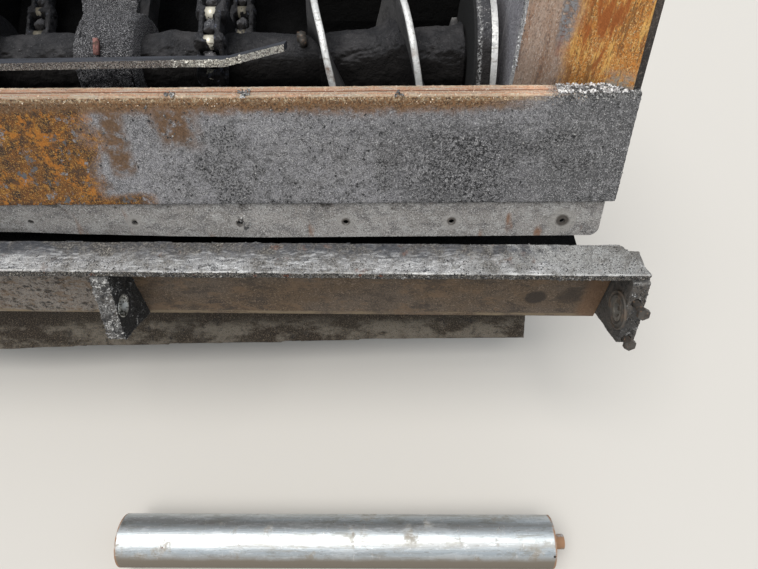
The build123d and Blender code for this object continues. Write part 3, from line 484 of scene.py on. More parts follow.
@material((0.112, 0.072, 0.04), 0.75)
def brown_beam(p):
    """Beam's back plate: brown film, grey left bay, two dark stains near the right end."""
    p.layer(p.patch(6, 0.42, 0.62, 0, 5, 0.6, (0.6, 1, 1)), (0.118, 0.087, 0.062), 0.7)
    p.layer(p.patch(11, 0.5, 0.72, 5, 5), (0.046, 0.034, 0.026), 0.8)
    left_bay = p.along("x", 0.02, -0.02)
    p.layer(left_bay, (0.25, 0.222, 0.196), 0.85)
    p.layer((left_bay, p.patch(60, 0.52, 0.62, 3, 5, 0.75)), (0.035, 0.032, 0.03), 0.9, height=1)
    p.mottle(200, (0.022, 0.016, 0.012), (0.3, 0.22, 0.155), 0.8, 1, 0.53, 0.8)
    p.mottle(18, (0.048, 0.034, 0.024), (0.19, 0.12, 0.068), 0.6, 41, 0.53, 0.2, (0.5, 1, 1))
    p.layer((p.near((1.083, -1.148, -0.336), 0.022, 0.034, 0.01), 0.85), (0.03, 0.022, 0.017), 0.85)
    p.layer((p.near((1.174, -1.15, -0.33), 0.024, 0.042, 0.02), 0.6), (0.042, 0.03, 0.022), 0.85)
    p.layer((p.along("x", 1.195, 1.225, 0.02), 0.6), (0.2, 0.105, 0.05), 0.8)
    p.layer(p.patch(110, 0.45, 0.65, 0, 4, 0.7), height=0.4)
    foot = p.both(p.along("z", -0.404, -0.41, 0.006, 40), p.patch(30, 0.4, 0.56, 51, 4, 0.7, (0.3, 1, 1)))
    p.layer(foot, (0.23, 0.175, 0.11), 0.8)


@material((0.026, 0.017, 0.01), 0.85)
def spill_steel(p):
    """Spill plate: dusty brown with a paler band of painted highlight along its foot."""
    p.layer(p.patch(7, 0.42, 0.64, 0, 6), (0.036, 0.027, 0.018), 0.85)
    # Painted highlight: a paler band along the plate's foot.
    foot = p.both(p.along("z", -0.54, -0.572, 0.04, 8), p.patch(18, 0.44, 0.6, 2, 5, 0.7, (0.5, 1, 1)))
    p.layer(foot, (0.165, 0.142, 0.112), 0.75)
    p.layer(p.patch(32, 0.56, 0.7, 6, 5, 0.7), (0.026, 0.022, 0.02), 0.9, height=0.8)
    p.mottle(280, (0.01, 0.008, 0.006), (0.22, 0.17, 0.115), 0.8, 1, 0.53, 0.8)


@material((0.5, 0.54, 0.565), 0.36, 0.85)
def roller_steel(p):
    """Push roller on the ground: turned steel, streaked lengthwise, with painted shade making it dark brown
    below, and brown at its ends.
    """
    p.layer(p.patch(40, 0.45, 0.62, 1, 5, 0.7, (0.05, 1, 1)), (0.39, 0.4, 0.405), 0.45)
    p.layer(p.patch(9, 0.54, 0.66, 3, 6, 0.7, (1.4, 1, 1)), (0.34, 0.315, 0.28), 0.6, 0.5)
    p.layer(p.patch(60, 0.6, 0.7, 4, 5, 0.7, (1.6, 0.5, 0.5)), (0.75, 0.745, 0.735), 0.25)
    p.layer(p.patch(30, 0.66, 0.74, 7, 5, 0.75), (0.18, 0.085, 0.04), 0.85, 0.1)
    p.mottle(150, (0.15, 0.12, 0.09), (0.8, 0.82, 0.84), 0.4, 5, 0.56, 0.1, (0.2, 1, 1))
    p.mottle(26, (0.31, 0.3, 0.27), (0.66, 0.69, 0.71), 0.5, 15, 0.53, 0, (0.25, 1, 1))
    # Painted shade: the roller's lower side dark brown.
    shaded_underside = p.both(p.along("z", -0.68, -0.704, 0.016, 14), p.along("y", -1.672, -1.69))
    p.layer(shaded_underside, (0.165, 0.14, 0.11), 0.8, 0.1)
    for end_hole in ((-0.013, -1.704, -0.684), (1.108, -1.714, -0.687)):
        p.layer(p.near(end_hole, 0.0035, 0.0045), (0.01, 0.01, 0.01), 0.8, 0)
    ends = p.either(p.along("x", 1.107, 1.112), p.along("x", -0.016, -0.021))
    p.layer((ends, p.patch(35, 0.35, 0.55)), (0.3, 0.17, 0.095), 0.85, 0.1)
    p.layer(p.patch(500, 0.4, 0.6, 0, 2, 0.5, (0.04, 1, 1)), height=0.05)


def dark_flight(name):
    """Dark crusted sides of a flight or disc."""
    p = Paint(name, (0.075, 0.072, 0.074), 0.8, 0.1)
    p.layer(p.patch(20, 0.45, 0.62, 0, 5), (0.045, 0.043, 0.045), 0.85)
    p.layer(p.patch(150, 0.5, 0.66, 0, 4, 0.7), (0.13, 0.126, 0.124), height=0.8)
    return p


def worn_rim(p, rim):
    """Rim worn bright, with a brown stain on its front."""
    p.layer(rim, (0.76, 0.76, 0.75), 0.42, 0.55)
    p.layer((rim, p.patch(90, 0.54, 0.66, 0, 5, 0.75, (0.3, 1, 1))), (0.42, 0.4, 0.37), 0.6, 0.4)
    stain = p.both(rim, p.patch(14, 0.46, 0.58, 5), p.along("y", -0.79, -0.815, 0.02))
    p.layer(stain, (0.2, 0.135, 0.1), 0.7, 0.2)
    return p.done()


def worn_flight():
    p = dark_flight("worn_flight")
    outer_part = p.both(p.cut(p.from_axis(), 0.172, 0.187), p.patch(50, 0.46, 0.6, 3, 4, 0.7))
    p.layer(outer_part, (0.3, 0.29, 0.28), 0.5, 0.5)
    return worn_rim(p, p.cut(p.from_axis(), 0.1865, 0.188))


def disc_steel():
    """End discs: bright only on the part of the rim that is next to the trough's end plate, with painted
    shade on the inner face.
    """
    outer_x, inner_x = 0.932, 0.903
    p = dark_flight("disc_steel")
    away = p.math("ABSOLUTE", p.axes["x"])
    # Painted shade: the disc's inner face near black.
    p.layer(p.cut(away, inner_x + 0.003, inner_x - 0.003), (0.012, 0.012, 0.013), 0.9)
    outer_part = p.cut(away, outer_x - 0.002, outer_x + 0.001)
    return worn_rim(p, p.both(p.cut(p.from_axis(), 0.1865, 0.188), outer_part))


def chain_steel():
    p = crusty("chain_steel", 1.1, 0.5, 0.7)
    p.layer(p.patch(45, 0.58, 0.66, 5, 4, 0.7), (0.105, 0.112, 0.145), 0.4, 0.4)
    return p.done()


@material((0.06, 0.064, 0.078), 0.5, 0.2)
def slat_steel(p):
    """Slats: dark steel, with grit along the edge that faces forwards."""
    p.layer(p.patch(20, 0.45, 0.62, 0, 5, 0.7, (0.3, 1, 1)), (0.035, 0.036, 0.042), 0.7)
    edge = p.facing((0, -0.937, 0.35), 0.7, 0.85)
    p.layer(edge, (0.21, 0.17, 0.145), 0.8, 0.1)
    p.layer((edge, p.patch(330, 0.5, 0.58, 0, 3, 0.8)), (0.62, 0.58, 0.53), 0.7, height=1.2)
    p.layer((edge, p.patch(300, 0.5, 0.58, 2, 3, 0.8)), (0.04, 0.034, 0.032), 0.9, height=-1.2)
    bright = p.both(edge, p.along("x", 0.16, 0.24, 0.04), p.patch(260, 0.44, 0.54, 4, 3, 0.8))
    p.layer(bright, (0.78, 0.75, 0.67), 0.6, height=0.8)
    p.layer(p.patch(420, 0.6, 0.68, 6, 2), (0.14, 0.16, 0.2), 0.5)


@material((0.62, 0.58, 0.48), 0.38, 0.35)
def bright_roller(p):
    """Chain rollers: worn bright, with painted shade making them darker towards the rear."""
    p.layer(p.patch(120, 0.54, 0.66, 0, 4, 0.7, (0.3, 1, 1)), (0.23, 0.195, 0.15), 0.55, 0.6)
    p.layer(p.patch(60, 0.6, 0.68, 3, 3), (0.05, 0.048, 0.045), 0.8, 0.1)
    # Painted shade: the rollers further back are darker.
    p.layer(p.along("y", -0.52, -0.46), (0.2, 0.18, 0.14), 0.6, 0.3)


@material((0.085, 0.078, 0.07), 0.65, 0.4)
def bearing_iron(p):
    p.layer(p.patch(30, 0.45, 0.62, 0, 5), (0.13, 0.095, 0.07), 0.8, 0.1, 0.4)
    p.layer(p.patch(150, 0.45, 0.65, 0, 4, 0.7), height=0.5)


@material((0.095, 0.09, 0.085), 0.7)
def frame_paint(p):
    """Bulkhead, rails and saddles: worn dark paint under dust, with rust patches."""
    p.layer(p.patch(5, 0.42, 0.62, 0, 6), (0.15, 0.138, 0.125), 0.85)
    p.layer(p.patch(14, 0.58, 0.68, 4, 6, 0.7), (0.19, 0.1, 0.055), 0.88, height=-0.4)
    p.layer(p.patch(260, 0.5, 0.66, 0, 3, 0.7), (0.21, 0.2, 0.185), height=0.2)
    p.layer(p.patch(161.2, 0.55, 0.66, 3.1, 4, 0.75), (0.04, 0.038, 0.035), height=-0.24)
    p.layer(p.patch(91, 0.6, 0.72, 5.7, 2, 0.5), height=0.4)


@material((0.06, 0.056, 0.052), 0.72, 0.1)
def ear_steel(p):
    """Ears: crusted, pale on top, with painted shade making the centre ear's right side nearly black."""
    p.layer(p.patch(16, 0.44, 0.62, 0, 5), (0.105, 0.092, 0.08), 0.8)
    p.layer(p.patch(90, 0.5, 0.66, 3, 4, 0.7), (0.035, 0.033, 0.032), 0.85, height=1)
    p.layer(p.patch(240, 0.58, 0.66, 6, 3, 0.7), (0.2, 0.19, 0.18), 0.7, height=0.7)
    top = p.both(p.along("z", -0.172, -0.155, 0.02, 14), p.facing((0, -0.4, 0.9), -0.2, 0.2))
    p.layer(top, (0.3, 0.298, 0.292), 0.85)
    p.mottle(220, (0.03, 0.03, 0.03), (0.64, 0.63, 0.61), top, 3, 0.52, 1.2)
    # Painted shade: the centre ear's right side nearly black.
    side = p.both(p.facing((1, 0, 0), 0.45, 0.9), p.along("x", 0.4, 0.3))
    p.layer(side, (0.016, 0.016, 0.017), 0.8)
    off_bore = p.near((0, bore_y, bore_z), 0.046, 0.038)
    grainy = p.both(side, off_bore, p.patch(30, 0.4, 0.6, 9, 4, 0.7))
    p.mottle(230, (0.005, 0.005, 0.005), (0.13, 0.126, 0.12), grainy, 6, 0.52, 2.5)


@material((0.52, 0.525, 0.5), 0.35, 0.5)
def seat_steel(p):
    p.layer(p.patch(90, 0.48, 0.56, 0, 4, 0.7), (0.05, 0.048, 0.04), 0.7, 0.3)


@material((0.3, 0.285, 0.26), 0.4, 0.75)
def bearing_steel(p):
    p.layer(p.patch(60, 0.46, 0.6, 0, 5), (0.1, 0.08, 0.062), 0.7, 0.3)
    p.layer(p.patch(140, 0.5, 0.66, 0, 4, 0.7), height=0.3)


@material((0.095, 0.088, 0.08), 0.5, 0.6)
def bolt_steel(p):
    p.layer(p.patch(70, 0.44, 0.6, 0, 5), (0.055, 0.045, 0.038), 0.75, 0.3)
    p.layer(p.patch(110, 0.58, 0.68, 2, 4, 0.7), (0.22, 0.13, 0.08), 0.85, 0.1, 0.2)


# Crusts told by numbers alone. Columns: name, tone, shine, limit of the specks
# The very low tone of crusted_sheet is painted shade, which keeps the inside of the tunnel dark.
crust_rows = (("crusted_sheet", 0.08, 0.85, 0.72), ("crusted_shaft", 0.6, 0.6, 0.72),
              ("crust", 0.95, 0.6, 0.71), ("packed", 2.6, 0.6, 0.66))
for paint in (disc_crust, worn_flight, disc_steel, chain_steel):
    materials[paint.__name__] = paint()
materials.update({row[0]: crusty(*row).done() for row in crust_rows})
materials.update({row[0]: stone(*row) for row in stone_rows})

# Nodes whose look isn't named after their slot
look_of = {"slat": "slat_steel", "trough_end": "streaked_plate", "end_disc": "disc_steel",
           "edge_bar": "edge_iron"}
slot_of = {row["node"]: row["material_slot"] for row in frame["record"]["subparts"]}
for name, node in nodes.items():
    look = next((look_of[start] for start in look_of if name.startswith(start)), slot_of[name])
    node.data.materials.clear()
    node.data.materials.append(materials[look])


# Uneven and worn surfaces
def cloud(name, size, depth):
    texture = bpy.data.textures.new(name, "CLOUDS")
    texture.noise_scale = size
    texture.noise_depth = depth
    return texture


dents = cloud("dents", 0.25, 2)
lumps = cloud("lumps", 0.03, 4)
grains = cloud("grains", 0.008, 3)


def worn(name, voxel, steps, middle=1, softer=0):
    """Remesh a node and push its surface, mostly inwards. Steps are (texture, strength)."""
    node = nodes[name]
    remesh = node.modifiers.new("even", "REMESH")
    remesh.mode = "VOXEL"
    remesh.voxel_size = voxel
    remesh.use_smooth_shade = True
    if softer:
        node.modifiers.new("softer", "SMOOTH").iterations = softer
    for texture, strength in steps:
        push = node.modifiers.new(texture.name, "DISPLACE")
        push.texture = texture
        push.texture_coords = "LOCAL"
        push.strength = strength
        push.mid_level = middle


worn("front_apron", 0.0056, ((dents, 0.004), (grains, 0.0016)))
worn("beam_top", 0.0042, ((dents, 0.004), (lumps, 0.003), (grains, 0.002)))
for name, middle in (("ear_left", 0.9), ("ear_centre", 0.6), ("ear_right", 0.9)):
    worn(name, 0.0028, ((lumps, 0.004), (grains, 0.002)), middle)
worn("spill_plate", 0.006, ((dents, 0.006), (lumps, 0.0016)), softer=8)
for name in ("chain_left", "chain_right"):
    worn(name, 0.0034, ((lumps, 0.009), (grains, 0.003)), 0.35)


# What the added shapes share
def ready(name, mesh, material, body, smooth=True):
    """Object with a mesh, a material and a slot, which rides on a body."""
    obj = bpy.data.objects.new(name, mesh)
    bpy.context.scene.collection.objects.link(obj)
    mesh.materials.append(materials[material])
    for face in mesh.polygons:
        face.use_smooth = smooth
    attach(obj, body)
    return obj


def from_bmesh(name, bm, material, body="hopper"):
    mesh = bpy.data.meshes.new(name)
    bm.to_mesh(mesh)
    bm.free()
    return ready(name, mesh, material, body)


def around(radius, phase):
    """Point about the auger's axis, as (y, z)."""
    angle = radians(phase)
    return axis.y - radius * cos(angle), axis.z + radius * sin(angle)


def skin(bm, rings):
    """Faces from each ring of vertices to the next."""
    for a, b in zip(rings, rings[1:]):
        for k in range(len(a)):
            m = (k + 1) % len(a)
            bm.faces.new((a[k], a[m], b[m], b[k]))


def rough(x, phase, scale, amount, seed=0):
    """Unevenness of crust round the shaft, up or down by about the amount."""
    a = radians(phase)
    spot = Vector((x, 0.1 * cos(a), 0.1 * sin(a))) * scale + Vector((seed, seed, seed))
    return amount * noise.fractal(spot, 0.9, 2.1, 5)


def grown(value, start, length):
    """0 up to the start, then up to 1 over a length."""
    return max(0, min(1, (value - start) / length))


# Auger: smooth flights in place of the solid ones
flight_pitch = 0.21
outer_x = 0.8828
# Near its free end, from here on, the flight is a little steeper for the last 96 degrees
steep_x, steep_phase = 0.553, 16.6
steep_turn, steep_length = 96, 0.064
pitched_steps, steep_steps = 150, 26
flight_half, rim_chamfer = 0.0088, 0.0022
rim_start = 0.1865


def flight_path():
    """Phase and x along a flight, from the end disc to the free end."""
    outer_phase = steep_phase - 360 * (outer_x - steep_x) / flight_pitch
    for i in range(pitched_steps + 1):
        share = i / pitched_steps
        yield outer_phase + (steep_phase - outer_phase) * share, outer_x + (steep_x - outer_x) * share
    for i in range(1, steep_steps + 1):
        yield steep_phase + steep_turn * i / steep_steps, steep_x - steep_length * i / steep_steps


# Section of a flight, from its left root over the rim to its right root. Columns: radius, side
left_side = [(0.066, -flight_half), (0.12, -flight_half), (0.165, -flight_half), (rim_start, -flight_half),
             (rim_radius, -flight_half + rim_chamfer)]
flight_section = left_side + [(radius, -side) for radius, side in reversed(left_side)]


def smooth_flight(side, sign):
    bm = bmesh.new()
    rings = []
    for phase, x in flight_path():
        ring = []
        for radius, dx in flight_section:
            y, z = around(radius, phase)
            wave = 0.0016 * noise.noise(Vector((x * 9, y * 14, z * 14))) * (radius > 0.1)
            worn_off = 0.0012 * noise.noise(Vector((phase * 0.13, dx * 90, 3))) * (radius > 0.18)
            y, z = around(radius - abs(worn_off), phase)
            ring.append(bm.verts.new((sign * (x + dx + wave), y, z)))
        rings.append(ring)
    skin(bm, rings)
    bm.faces.new(rings[0])
    bm.faces.new(rings[-1][::-1])
    bmesh.ops.recalc_face_normals(bm, faces=bm.faces)
    flight = from_bmesh(f"smooth_flight_{side}", bm, "worn_flight", "auger")
    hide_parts(f"flight_{side}")


for side, sign in (("left", -1), ("right", 1)):
    smooth_flight(side, sign)


# Auger: crust round its shaft and discs
def sleeve(name, x_low, x_high, radius_at, material, body="auger", step=0.004, sides=180):
    """Crust round the shaft: a closed tube whose radius comes from radius_at(x, phase)."""
    bm = bmesh.new()
    rings = []
    count = int((x_high - x_low) / step)
    for i in range(count + 1):
        x = x_low + (x_high - x_low) * i / count
        ring = []
        for k in range(sides):
            phase = 360 * k / sides
            ring.append(bm.verts.new((x, *around(radius_at(x, phase), phase))))
        rings.append(ring)
    skin(bm, rings)
    bm.faces.new(rings[0][::-1])
    bm.faces.new(rings[-1])
    from_bmesh(name, bm, material, body)


def side_crust(x, phase):
    """Thicker towards the ends, and banked up against the outer turns of the flight."""
    away = abs(x)
    base = shaft_radius + 0.002 + 0.01 * grown(away, 0.5, 0.1) + 0.006 * grown(away, 0.72, 0.06)
    flight_x = steep_x - flight_pitch * (phase - steep_phase) / 360
    gap = (flight_x - away) % flight_pitch
    bank = 0.045 * exp(-gap / 0.022) if away > 0.62 else 0.012 * exp(-gap / 0.01)
    return base + bank + rough(x, phase, 26, 0.0035) + rough(x, phase, 140, 0.0014)


# Banks of crust on the shaft's middle. Columns: x, half width, height
crust_banks = ((-0.185, 0.045, 0.005), (-0.125, 0.04, 0.002), (0.125, 0.03, 0.009), (0.185, 0.045, 0.004),
               (0.335, 0.045, 0.006), (0.4, 0.04, 0.003))


def middle_crust(x, phase):
    fade = min(1, (0.5 - abs(x)) / 0.06)
    cover = 1 if abs(x) < 0.3 else 0.25
    banks = sum(high * exp(-((x - at) / wide) ** 2) for at, wide, high in crust_banks)
    uneven = fade * cover * (0.0035 + rough(x, phase, 22, 0.0045, 5)) + rough(x, phase, 150, 0.001)
    return shaft_radius + 0.0005 + uneven + banks - 0.002 * (1 - fade)


def rim_crust(x, phase):
    return rim_radius + 0.0023 + rough(x, phase, 30, 0.0016, 2) + rough(x, phase, 120, 0.0012)


def hub_crust(x, phase):
    """Round lump on the hanger's bearing."""
    away = min(1, abs(x + 0.016) / 0.08)
    shape = 0.11 + 0.02 * (1 - away ** 2.2) ** 0.5
    lumpy = rough(x, phase, 14, 0.006, 7) + rough(x, phase, 60, 0.004)
    return shape + lumpy + rough(x, phase, 190, 0.0014)


sleeve("shaft_crust_left", -0.884, -0.515, side_crust, "crust")
sleeve("shaft_crust_right", 0.515, 0.884, side_crust, "crust")
sleeve("shaft_crust_middle", -0.49, 0.49, middle_crust, "crust", step=0.005)
sleeve("disc_crust_left", -0.9325, -0.899, rim_crust, "disc_crust", sides=240)
sleeve("disc_crust_right", 0.899, 0.9325, rim_crust, "disc_crust", sides=240)
sleeve("hub_crust", -0.096, 0.058, hub_crust, "grey_crust", "hopper", 0.0026, 240)


# Shaft's hanger and its neighbours
def arm_crust():
    """Crust on the hanger's arm, from the hub up to the cross tube."""
    width, length, thickness = 0.15, 0.33, 0.092
    middle_x, middle_out = -0.058, 0.235
    climb = atan2(0.168, 0.415)
    bm = bmesh.new()
    bmesh.ops.create_cube(bm, size=1)
    bmesh.ops.subdivide_edges(bm, edges=bm.edges[:], cuts=46, use_grid_fill=True)
    for v in bm.verts:
        rounded = 1 - 0.1 * (abs(v.co.x) * 2) ** 4
        at = Vector((v.co.x * width + middle_x, middle_out + v.co.y * length, v.co.z * thickness * rounded))
        out = 0.014 * noise.fractal(at * 16, 0.9, 2.1, 5) + 0.004 * noise.fractal(at * 90, 0.9, 2.1, 3)
        at += v.co.normalized() * out
        v.co = Vector((at.x, axis.y + at.y * cos(climb) - at.z * sin(climb),
                       axis.z + at.y * sin(climb) + at.z * cos(climb)))
    from_bmesh("arm_crust", bm, "grey_crust")


def hub_key():
    """Short rusty bar on top of the hub."""
    bm = bmesh.new()
    bmesh.ops.create_cube(bm, size=1)
    for v in bm.verts:
        v.co = Vector((-0.025 + v.co.x * 0.012, *around(0.137 + 0.012 * v.co.z, 48 + v.co.y * 16)))
    from_bmesh("hub_key", bm, "rust_bar")


def shaft_lug():
    """Two bolt heads on the bare part of the shaft, left of the right flight's end."""
    bm = bmesh.new()
    # Columns: x, phase, radius of the head, how far it stands out
    for x, phase, size, out in ((0.468, 84, 0.014, 0.008), (0.474, 70, 0.011, 0.014)):
        head = bmesh.ops.create_cone(bm, cap_ends=True, segments=6, depth=0.03,
                                     radius1=size, radius2=size * 0.9)
        angle = radians(phase)
        turn = Vector((0, -cos(angle), sin(angle))).to_track_quat("Z", "Y").to_matrix()
        middle = Vector((x, *around(shaft_radius + out * 0.5, phase)))
        for v in head["verts"]:
            v.co = turn @ v.co + middle
    from_bmesh("shaft_lug", bm, "bolt_steel", "auger")


arm_crust()
hub_key()
shaft_lug()

# Chain: its path goes down the upper run, round the tail wheel and back along the lower run
strand_xs = (-0.349, 0.258)
link = 0.0781
wheel_teeth = 12
wheel = link / (2 * sin(pi / wheel_teeth))
front_phase, upper_phase, lower_phase = 19.5, 74, -118
upper_climb, lower_climb = 16, 28
first_link, last_link = -8, 11
path_end_y = -0.02
chain_roller_radius, chain_roller_length = 0.0178, 0.031


def on_chain(distance):
    """Point on the chain's path, measured from its front roller, downwards positive."""
    to_upper = radians(upper_phase - front_phase) * wheel
    to_lower = radians(front_phase - lower_phase) * wheel
    if -to_upper <= distance <= to_lower:
        return around(wheel, front_phase - degrees(distance / wheel))
    upper = distance < 0
    y, z = around(wheel, upper_phase if upper else lower_phase)
    run = -distance - to_upper if upper else distance - to_lower
    climb = radians(upper_climb if upper else lower_climb)
    return y + run * cos(climb), z + run * sin(climb)


def chain_links():
    """Each link's x and number, as far as the bulkhead."""
    return [(x, i) for x in strand_xs for i in range(first_link, last_link + 1)
            if on_chain(i * link)[0] <= path_end_y]


def chain_rollers():
    bm = bmesh.new()
    across = Matrix.Rotation(radians(90), 3, "Y")
    for x, i in chain_links():
        roller = bmesh.ops.create_cone(bm, cap_ends=True, segments=28, radius1=chain_roller_radius,
                                       radius2=chain_roller_radius, depth=chain_roller_length)
        middle = Vector((x, *on_chain(i * link)))
        for v in roller["verts"]:
            v.co = across @ v.co + middle
    rims = [e for e in bm.edges if e.calc_face_angle(0) > 1]
    bmesh.ops.bevel(bm, geom=rims, offset=0.0022, segments=2, affect="EDGES")
    from_bmesh("chain_rollers", bm, "bright_roller")


def chain_packing():
    """Asphalt packed between the rollers, between every second pair at the rear."""
    length, across, height = 0.047, 0.033, 0.034
    bm = bmesh.new()
    for x, i in chain_links():
        y, z = on_chain((i + 0.5) * link)
        if y > -0.3 and i % 2:
            continue
        for v in bmesh.ops.create_icosphere(bm, subdivisions=3, radius=0.5)["verts"]:
            uneven = 1 + 0.22 * noise.fractal(v.co * 5 + Vector((x * 9, y * 50, z * 50)), 0.9, 2.1, 4)
            v.co = Vector((v.co.x * across, v.co.y * length, v.co.z * height)) * uneven + Vector((x, y, z))
    from_bmesh("chain_packing", bm, "packed")


chain_rollers()
chain_packing()

# Stones. They are drawn from one row of random numbers, so their order matters
rng = random.Random(11)
up, front = Vector((0, 0, 1)), Vector((0, -1, 0))
left, right = Vector((-1, 0, 0)), Vector((1, 0, 0))


def stone_size(small, large):
    """Most stones are small."""
    return small + (large - small) * rng.random() ** 3


def scatter(name, node, count, small, large, sides, fits, material, seed):
    """Stones on a node, where its faces look enough to one of the sides and the spot fits."""
    seen = nodes[node].evaluated_get(bpy.context.evaluated_depsgraph_get())
    mesh = seen.to_mesh()
    mesh.calc_loop_triangles()
    chosen = [t for t in mesh.loop_triangles if any(t.normal.dot(way) > least for way, least in sides)]
    spots = []
    for triangle in rng.choices(chosen, [t.area for t in chosen], k=count):
        corner = [mesh.vertices[i].co for i in triangle.vertices]
        a, b = sorted((rng.random(), rng.random()))
        at = corner[0] * a + corner[1] * (b - a) + corner[2] * (1 - b)
        if fits(at):
            spots.append((at, stone_size(small, large)))
    seen.to_mesh_clear()
    stones(name, spots, material, seed)


def strewn(count, x_range, y_range, z, small, large):
    """Places and sizes of stones on a flat stretch."""
    spots = []
    for _ in range(count):
        size = stone_size(small, large)
        spots.append((Vector((rng.uniform(*x_range), rng.uniform(*y_range), z + size * 0.4)), size))
    return spots


def heaped(heaps, y, z, small, large):
    """Places and sizes of stones in small heaps. Heaps are (x, count)."""
    spots = []
    for x, count in heaps:
        for _ in range(count):
            size = rng.uniform(small, large)
            spots.append((Vector((x + rng.gauss(0, 0.007), y + rng.gauss(0, 0.006), z + size * 0.5)), size))
    return spots


def stones(name, spots, material, seed):
    """Angular stones joined in one mesh, without those that would leave the part's box."""
    draw = random.Random(seed)
    corners = [way * 1.15 for way in (right, -front, left, front, up, -up)]
    sides = [(i, (i + 1) % 4, 4) for i in range(4)] + [((i + 1) % 4, i, 5) for i in range(4)]
    points, faces = [], []
    for middle, size in spots:
        if any(not low + 1.5 * size < at < high - 1.5 * size for at, low, high in zip(middle, *cad_size)):
            continue
        angle = draw.uniform(0, 6.28)
        pole = Vector((draw.random(), draw.random(), draw.random() + 0.1)).normalized()
        turn = Matrix.Rotation(angle, 3, pole)
        stretch = Vector((draw.uniform(0.7, 1.35), draw.uniform(0.7, 1.3), draw.uniform(0.5, 0.95))) * size
        start = len(points)
        points += [turn @ (corner * stretch) * draw.uniform(0.85, 1.1) + middle for corner in corners]
        faces += [[start + i for i in side] for side in sides]
    mesh = bpy.data.meshes.new(name)
    mesh.from_pydata(points, [], faces)
    ready(name, mesh, material, "hopper", smooth=False)


def patchy(at, scale, limit, shift=0):
    return noise.fractal(at * scale + Vector((shift, shift, shift)), 0.8, 2.1, 4) > limit


def on_lip(at):
    likely = 0.9 if abs(at.y + 1.004) > 0.012 else 0.15
    return at.z > lip_top - 0.004 and at.x < lip_end + 0.05 and rng.random() < likely


def on_lip_end(at):
    return at.z > lip_top - 0.014 and at.x > lip_end - 0.02 and rng.random() < (at.x - 1) * 9


def below_lip(at):
    return 0.18 < at.z < lip_top - 0.0015 and at.x < lip_end + 0.05 and rng.random() < (at.z - 0.175) * 45


def on_end_plate(at):
    return at.y < -0.853 and at.z > 0.16 and rng.random() < (-0.846 - at.y) * 34


def on_apron(at):
    dark = 0.62 < at.x < 1.02 and at.z < 0.15 and patchy(at, 5, -0.12, 3)
    middle = 0.17 < at.x < 0.62 and patchy(at, 8, 0.1, 9)
    end = at.x > 1.1 and patchy(at, 8, 0)
    return at.z < 0.182 and (dark or middle or end or rng.random() < 0.16) and at.x > 0.02


def on_beam(at):
    near_front = at.y < -1.16 - beam_skew * at.x and rng.random() < 0.35
    return near_front or at.x > 0.6 and rng.random() < (at.x - 0.5) * 0.7


def on_ear_side(at):
    return patchy(at, 22, 0.02) and hypot(at.y - bore_y, at.z - bore_z) > 0.04


def on_slat(at):
    return 0.185 < at.x < 0.345 and rng.random() < 0.9


covered_hole = Vector((strip_next_hole_x - 2 * strip_hole_pitch + 0.005, strip_hole_y, strip_hole_z + 0.002))


def on_covered_hole(at):
    return (at - covered_hole).length < rng.gauss(0.012, 0.008)


def on_beam_edge(at):
    return at.z > -0.166


def on_ear(at):
    """All of an ear's upper part and six tenths of its foot."""
    return at.z > -0.31 or rng.random() < 0.6


scatter("lip_crumbs", "front_apron", 9000, 0.0005, 0.0014, ((up, 0.75),), on_lip, "pale_stone", 2)
scatter("lip_end_crumbs", "front_apron", 60000, 0.0007, 0.003, ((up, 0.3), (front, 0.5)),
        on_lip_end, "dark_stone", 3)
scatter("lip_edge_crumbs", "front_apron", 20000, 0.0005, 0.0017, ((front, 0.4),), below_lip, "pale_stone", 4)
bank = strewn(1100, (1.04, 1.197), (-1.02, -0.985), lip_top + 0.0025, 0.0008, 0.0028)
stones("lip_end_bank", bank, "pale_grit", 13)
scatter("end_plate_crumbs", "trough_end_right", 60000, 0.0008, 0.0028,
        ((left, 0.7), (right, 0.7), (front, 0.5)), on_end_plate, "pale_grit", 14)
scatter("apron_crumbs", "front_apron", 9000, 0.0006, 0.0034, ((front, 0.4),), on_apron, "grit_stone", 7)
clods = heaped(((0.385, 34), (0.225, 16), (0.705, 12), (-0.55, 14)), -1.014, lip_top + 0.0015, 0.0014, 0.004)
stones("lip_clods", clods, "dark_stone", 9)
scatter("strip_clod", "apron_strip", 40000, 0.001, 0.0046, ((front, 0.4),),
        on_covered_hole, "dark_stone", 10)
scatter("beam_crumbs", "beam_top", 9000, 0.0005, 0.0024, ((up, 0.7),), on_beam, "grit_stone", 5)
scatter("beam_edge_crumbs", "beam_top", 3800, 0.0008, 0.0028, ((front, 0.5),), on_beam_edge, "grit_stone", 6)
scatter("ear_centre_crumbs", "ear_centre", 2600, 0.0009, 0.0034, ((front, 0.5),), on_ear, "dark_stone", 8)
for ear in ("ear_right", "ear_left"):
    scatter(f"{ear}_crumbs", ear, 900, 0.0009, 0.0026, ((front, 0.5),), on_ear, "grit_stone", 8)
scatter("ear_side_crumbs", "ear_centre", 1600, 0.0009, 0.004, ((right, 0.5),), on_ear_side, "grit_stone", 15)
scatter("slat_crumbs", "slat_2", 2200, 0.0008, 0.0032, ((front, 0.6),), on_slat, "slat_grit", 12)


# Ears: what their bores show
def turned_ring(name, profile, sides, material):
    """Ring turned about the roller bores' axis. The profile is a closed row of (x, radius)."""
    bm = bmesh.new()
    rings = []
    for x, radius in profile:
        ring = []
        for k in range(sides):
            turn = 2 * pi * k / sides
            ring.append(bm.verts.new((x, bore_y - beam_skew * x + radius * cos(turn),
                                      bore_z + radius * sin(turn))))
        rings.append(ring)
    skin(bm, rings + rings[:1])
    bmesh.ops.recalc_face_normals(bm, faces=bm.faces)
    from_bmesh(name, bm, material)


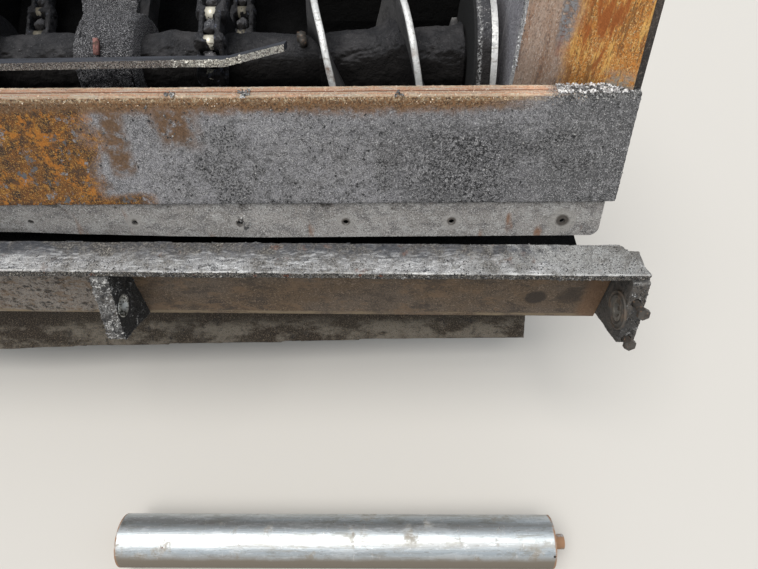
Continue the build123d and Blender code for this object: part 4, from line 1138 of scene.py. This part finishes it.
def bearing_seat():
    """Bright seat left in the centre ear's bore by its missing bearing."""
    half_width, outer, inner = 0.022, 0.0287, 0.025
    low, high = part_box("ear_centre")
    middle = (low[0] + high[0]) / 2
    profile = ((-half_width, outer), (half_width, outer), (half_width, inner), (-half_width, inner))
    turned_ring("bearing_seat", [(middle + x, radius) for x, radius in profile], 64, "seat_steel")


# Stepped rings on the inner face of an end ear. Columns: how far out from the bearing's face, radius
ring_steps = ((-0.006, 0.05), (0.0005, 0.0495), (0.0015, 0.047), (-0.0015, 0.0455), (-0.0015, 0.04),
              (0.002, 0.0385), (0.002, 0.0345), (-0.001, 0.033), (-0.001, 0.0292), (-0.006, 0.0292))


def bearing_rings(side, sign):
    low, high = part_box(f"bearing_{side}")
    face = low[0] if sign > 0 else high[0]
    profile = [(face - sign * out, radius) for out, radius in ring_steps]
    turned_ring(f"bearing_rings_{side}", profile, 96, "bearing_iron")


bearing_seat()
for side, sign in (("left", -1), ("right", 1)):
    bearing_rings(side, sign)


# Floor, light and camera
def pale_floor():
    bpy.ops.mesh.primitive_plane_add(size=60, location=(0, 0, ground))
    floor = bpy.context.object
    floor.name = "floor"
    pale = bpy.data.materials.new("pale_floor")
    pale.use_nodes = True
    surface = pale.node_tree.nodes["Principled BSDF"]
    surface.inputs["Base Color"].default_value = (0.6, 0.575, 0.54, 1)
    surface.inputs["Roughness"].default_value = 0.95
    floor.data.materials.append(pale)


def soft_light():
    world = bpy.data.worlds.new("sky")
    bpy.context.scene.world = world
    world.use_nodes = True
    sky = world.node_tree.nodes["Background"]
    sky.inputs["Color"].default_value = (0.88, 0.94, 1, 1)
    sky.inputs["Strength"].default_value = 0.62
    sun = bpy.data.lights.new("sun", "SUN")
    sun.energy = 2.7
    sun.angle = radians(50)
    sun.color = (1, 0.97, 0.92)
    lamp = bpy.data.objects.new("sun", sun)
    lamp.rotation_euler = (radians(16), radians(-12), 0)
    bpy.context.scene.collection.objects.link(lamp)


def camera_of_photo():
    """Camera where the photograph was taken from, in metres and degrees; its focal length in pixels."""
    place = (0.6596, -2.0669, 0.8885)
    down, aside, roll = 51.69, -0.2, -0.25
    focal_px, photo_width_px = 570, 758
    lens = bpy.data.cameras.new("camera")
    lens.sensor_width = 36
    lens.lens = focal_px / photo_width_px * lens.sensor_width
    camera = bpy.data.objects.new("camera", lens)
    camera.matrix_world = (Matrix.Translation(place) @ Matrix.Rotation(radians(aside), 4, "Z")
                           @ Matrix.Rotation(radians(90 - down), 4, "X")
                           @ Matrix.Rotation(radians(roll), 4, "Z"))
    bpy.context.scene.collection.objects.link(camera)
    bpy.context.scene.camera = camera


pale_floor()
soft_light()
camera_of_photo()
bpy.context.scene.view_settings.view_transform = "Standard"
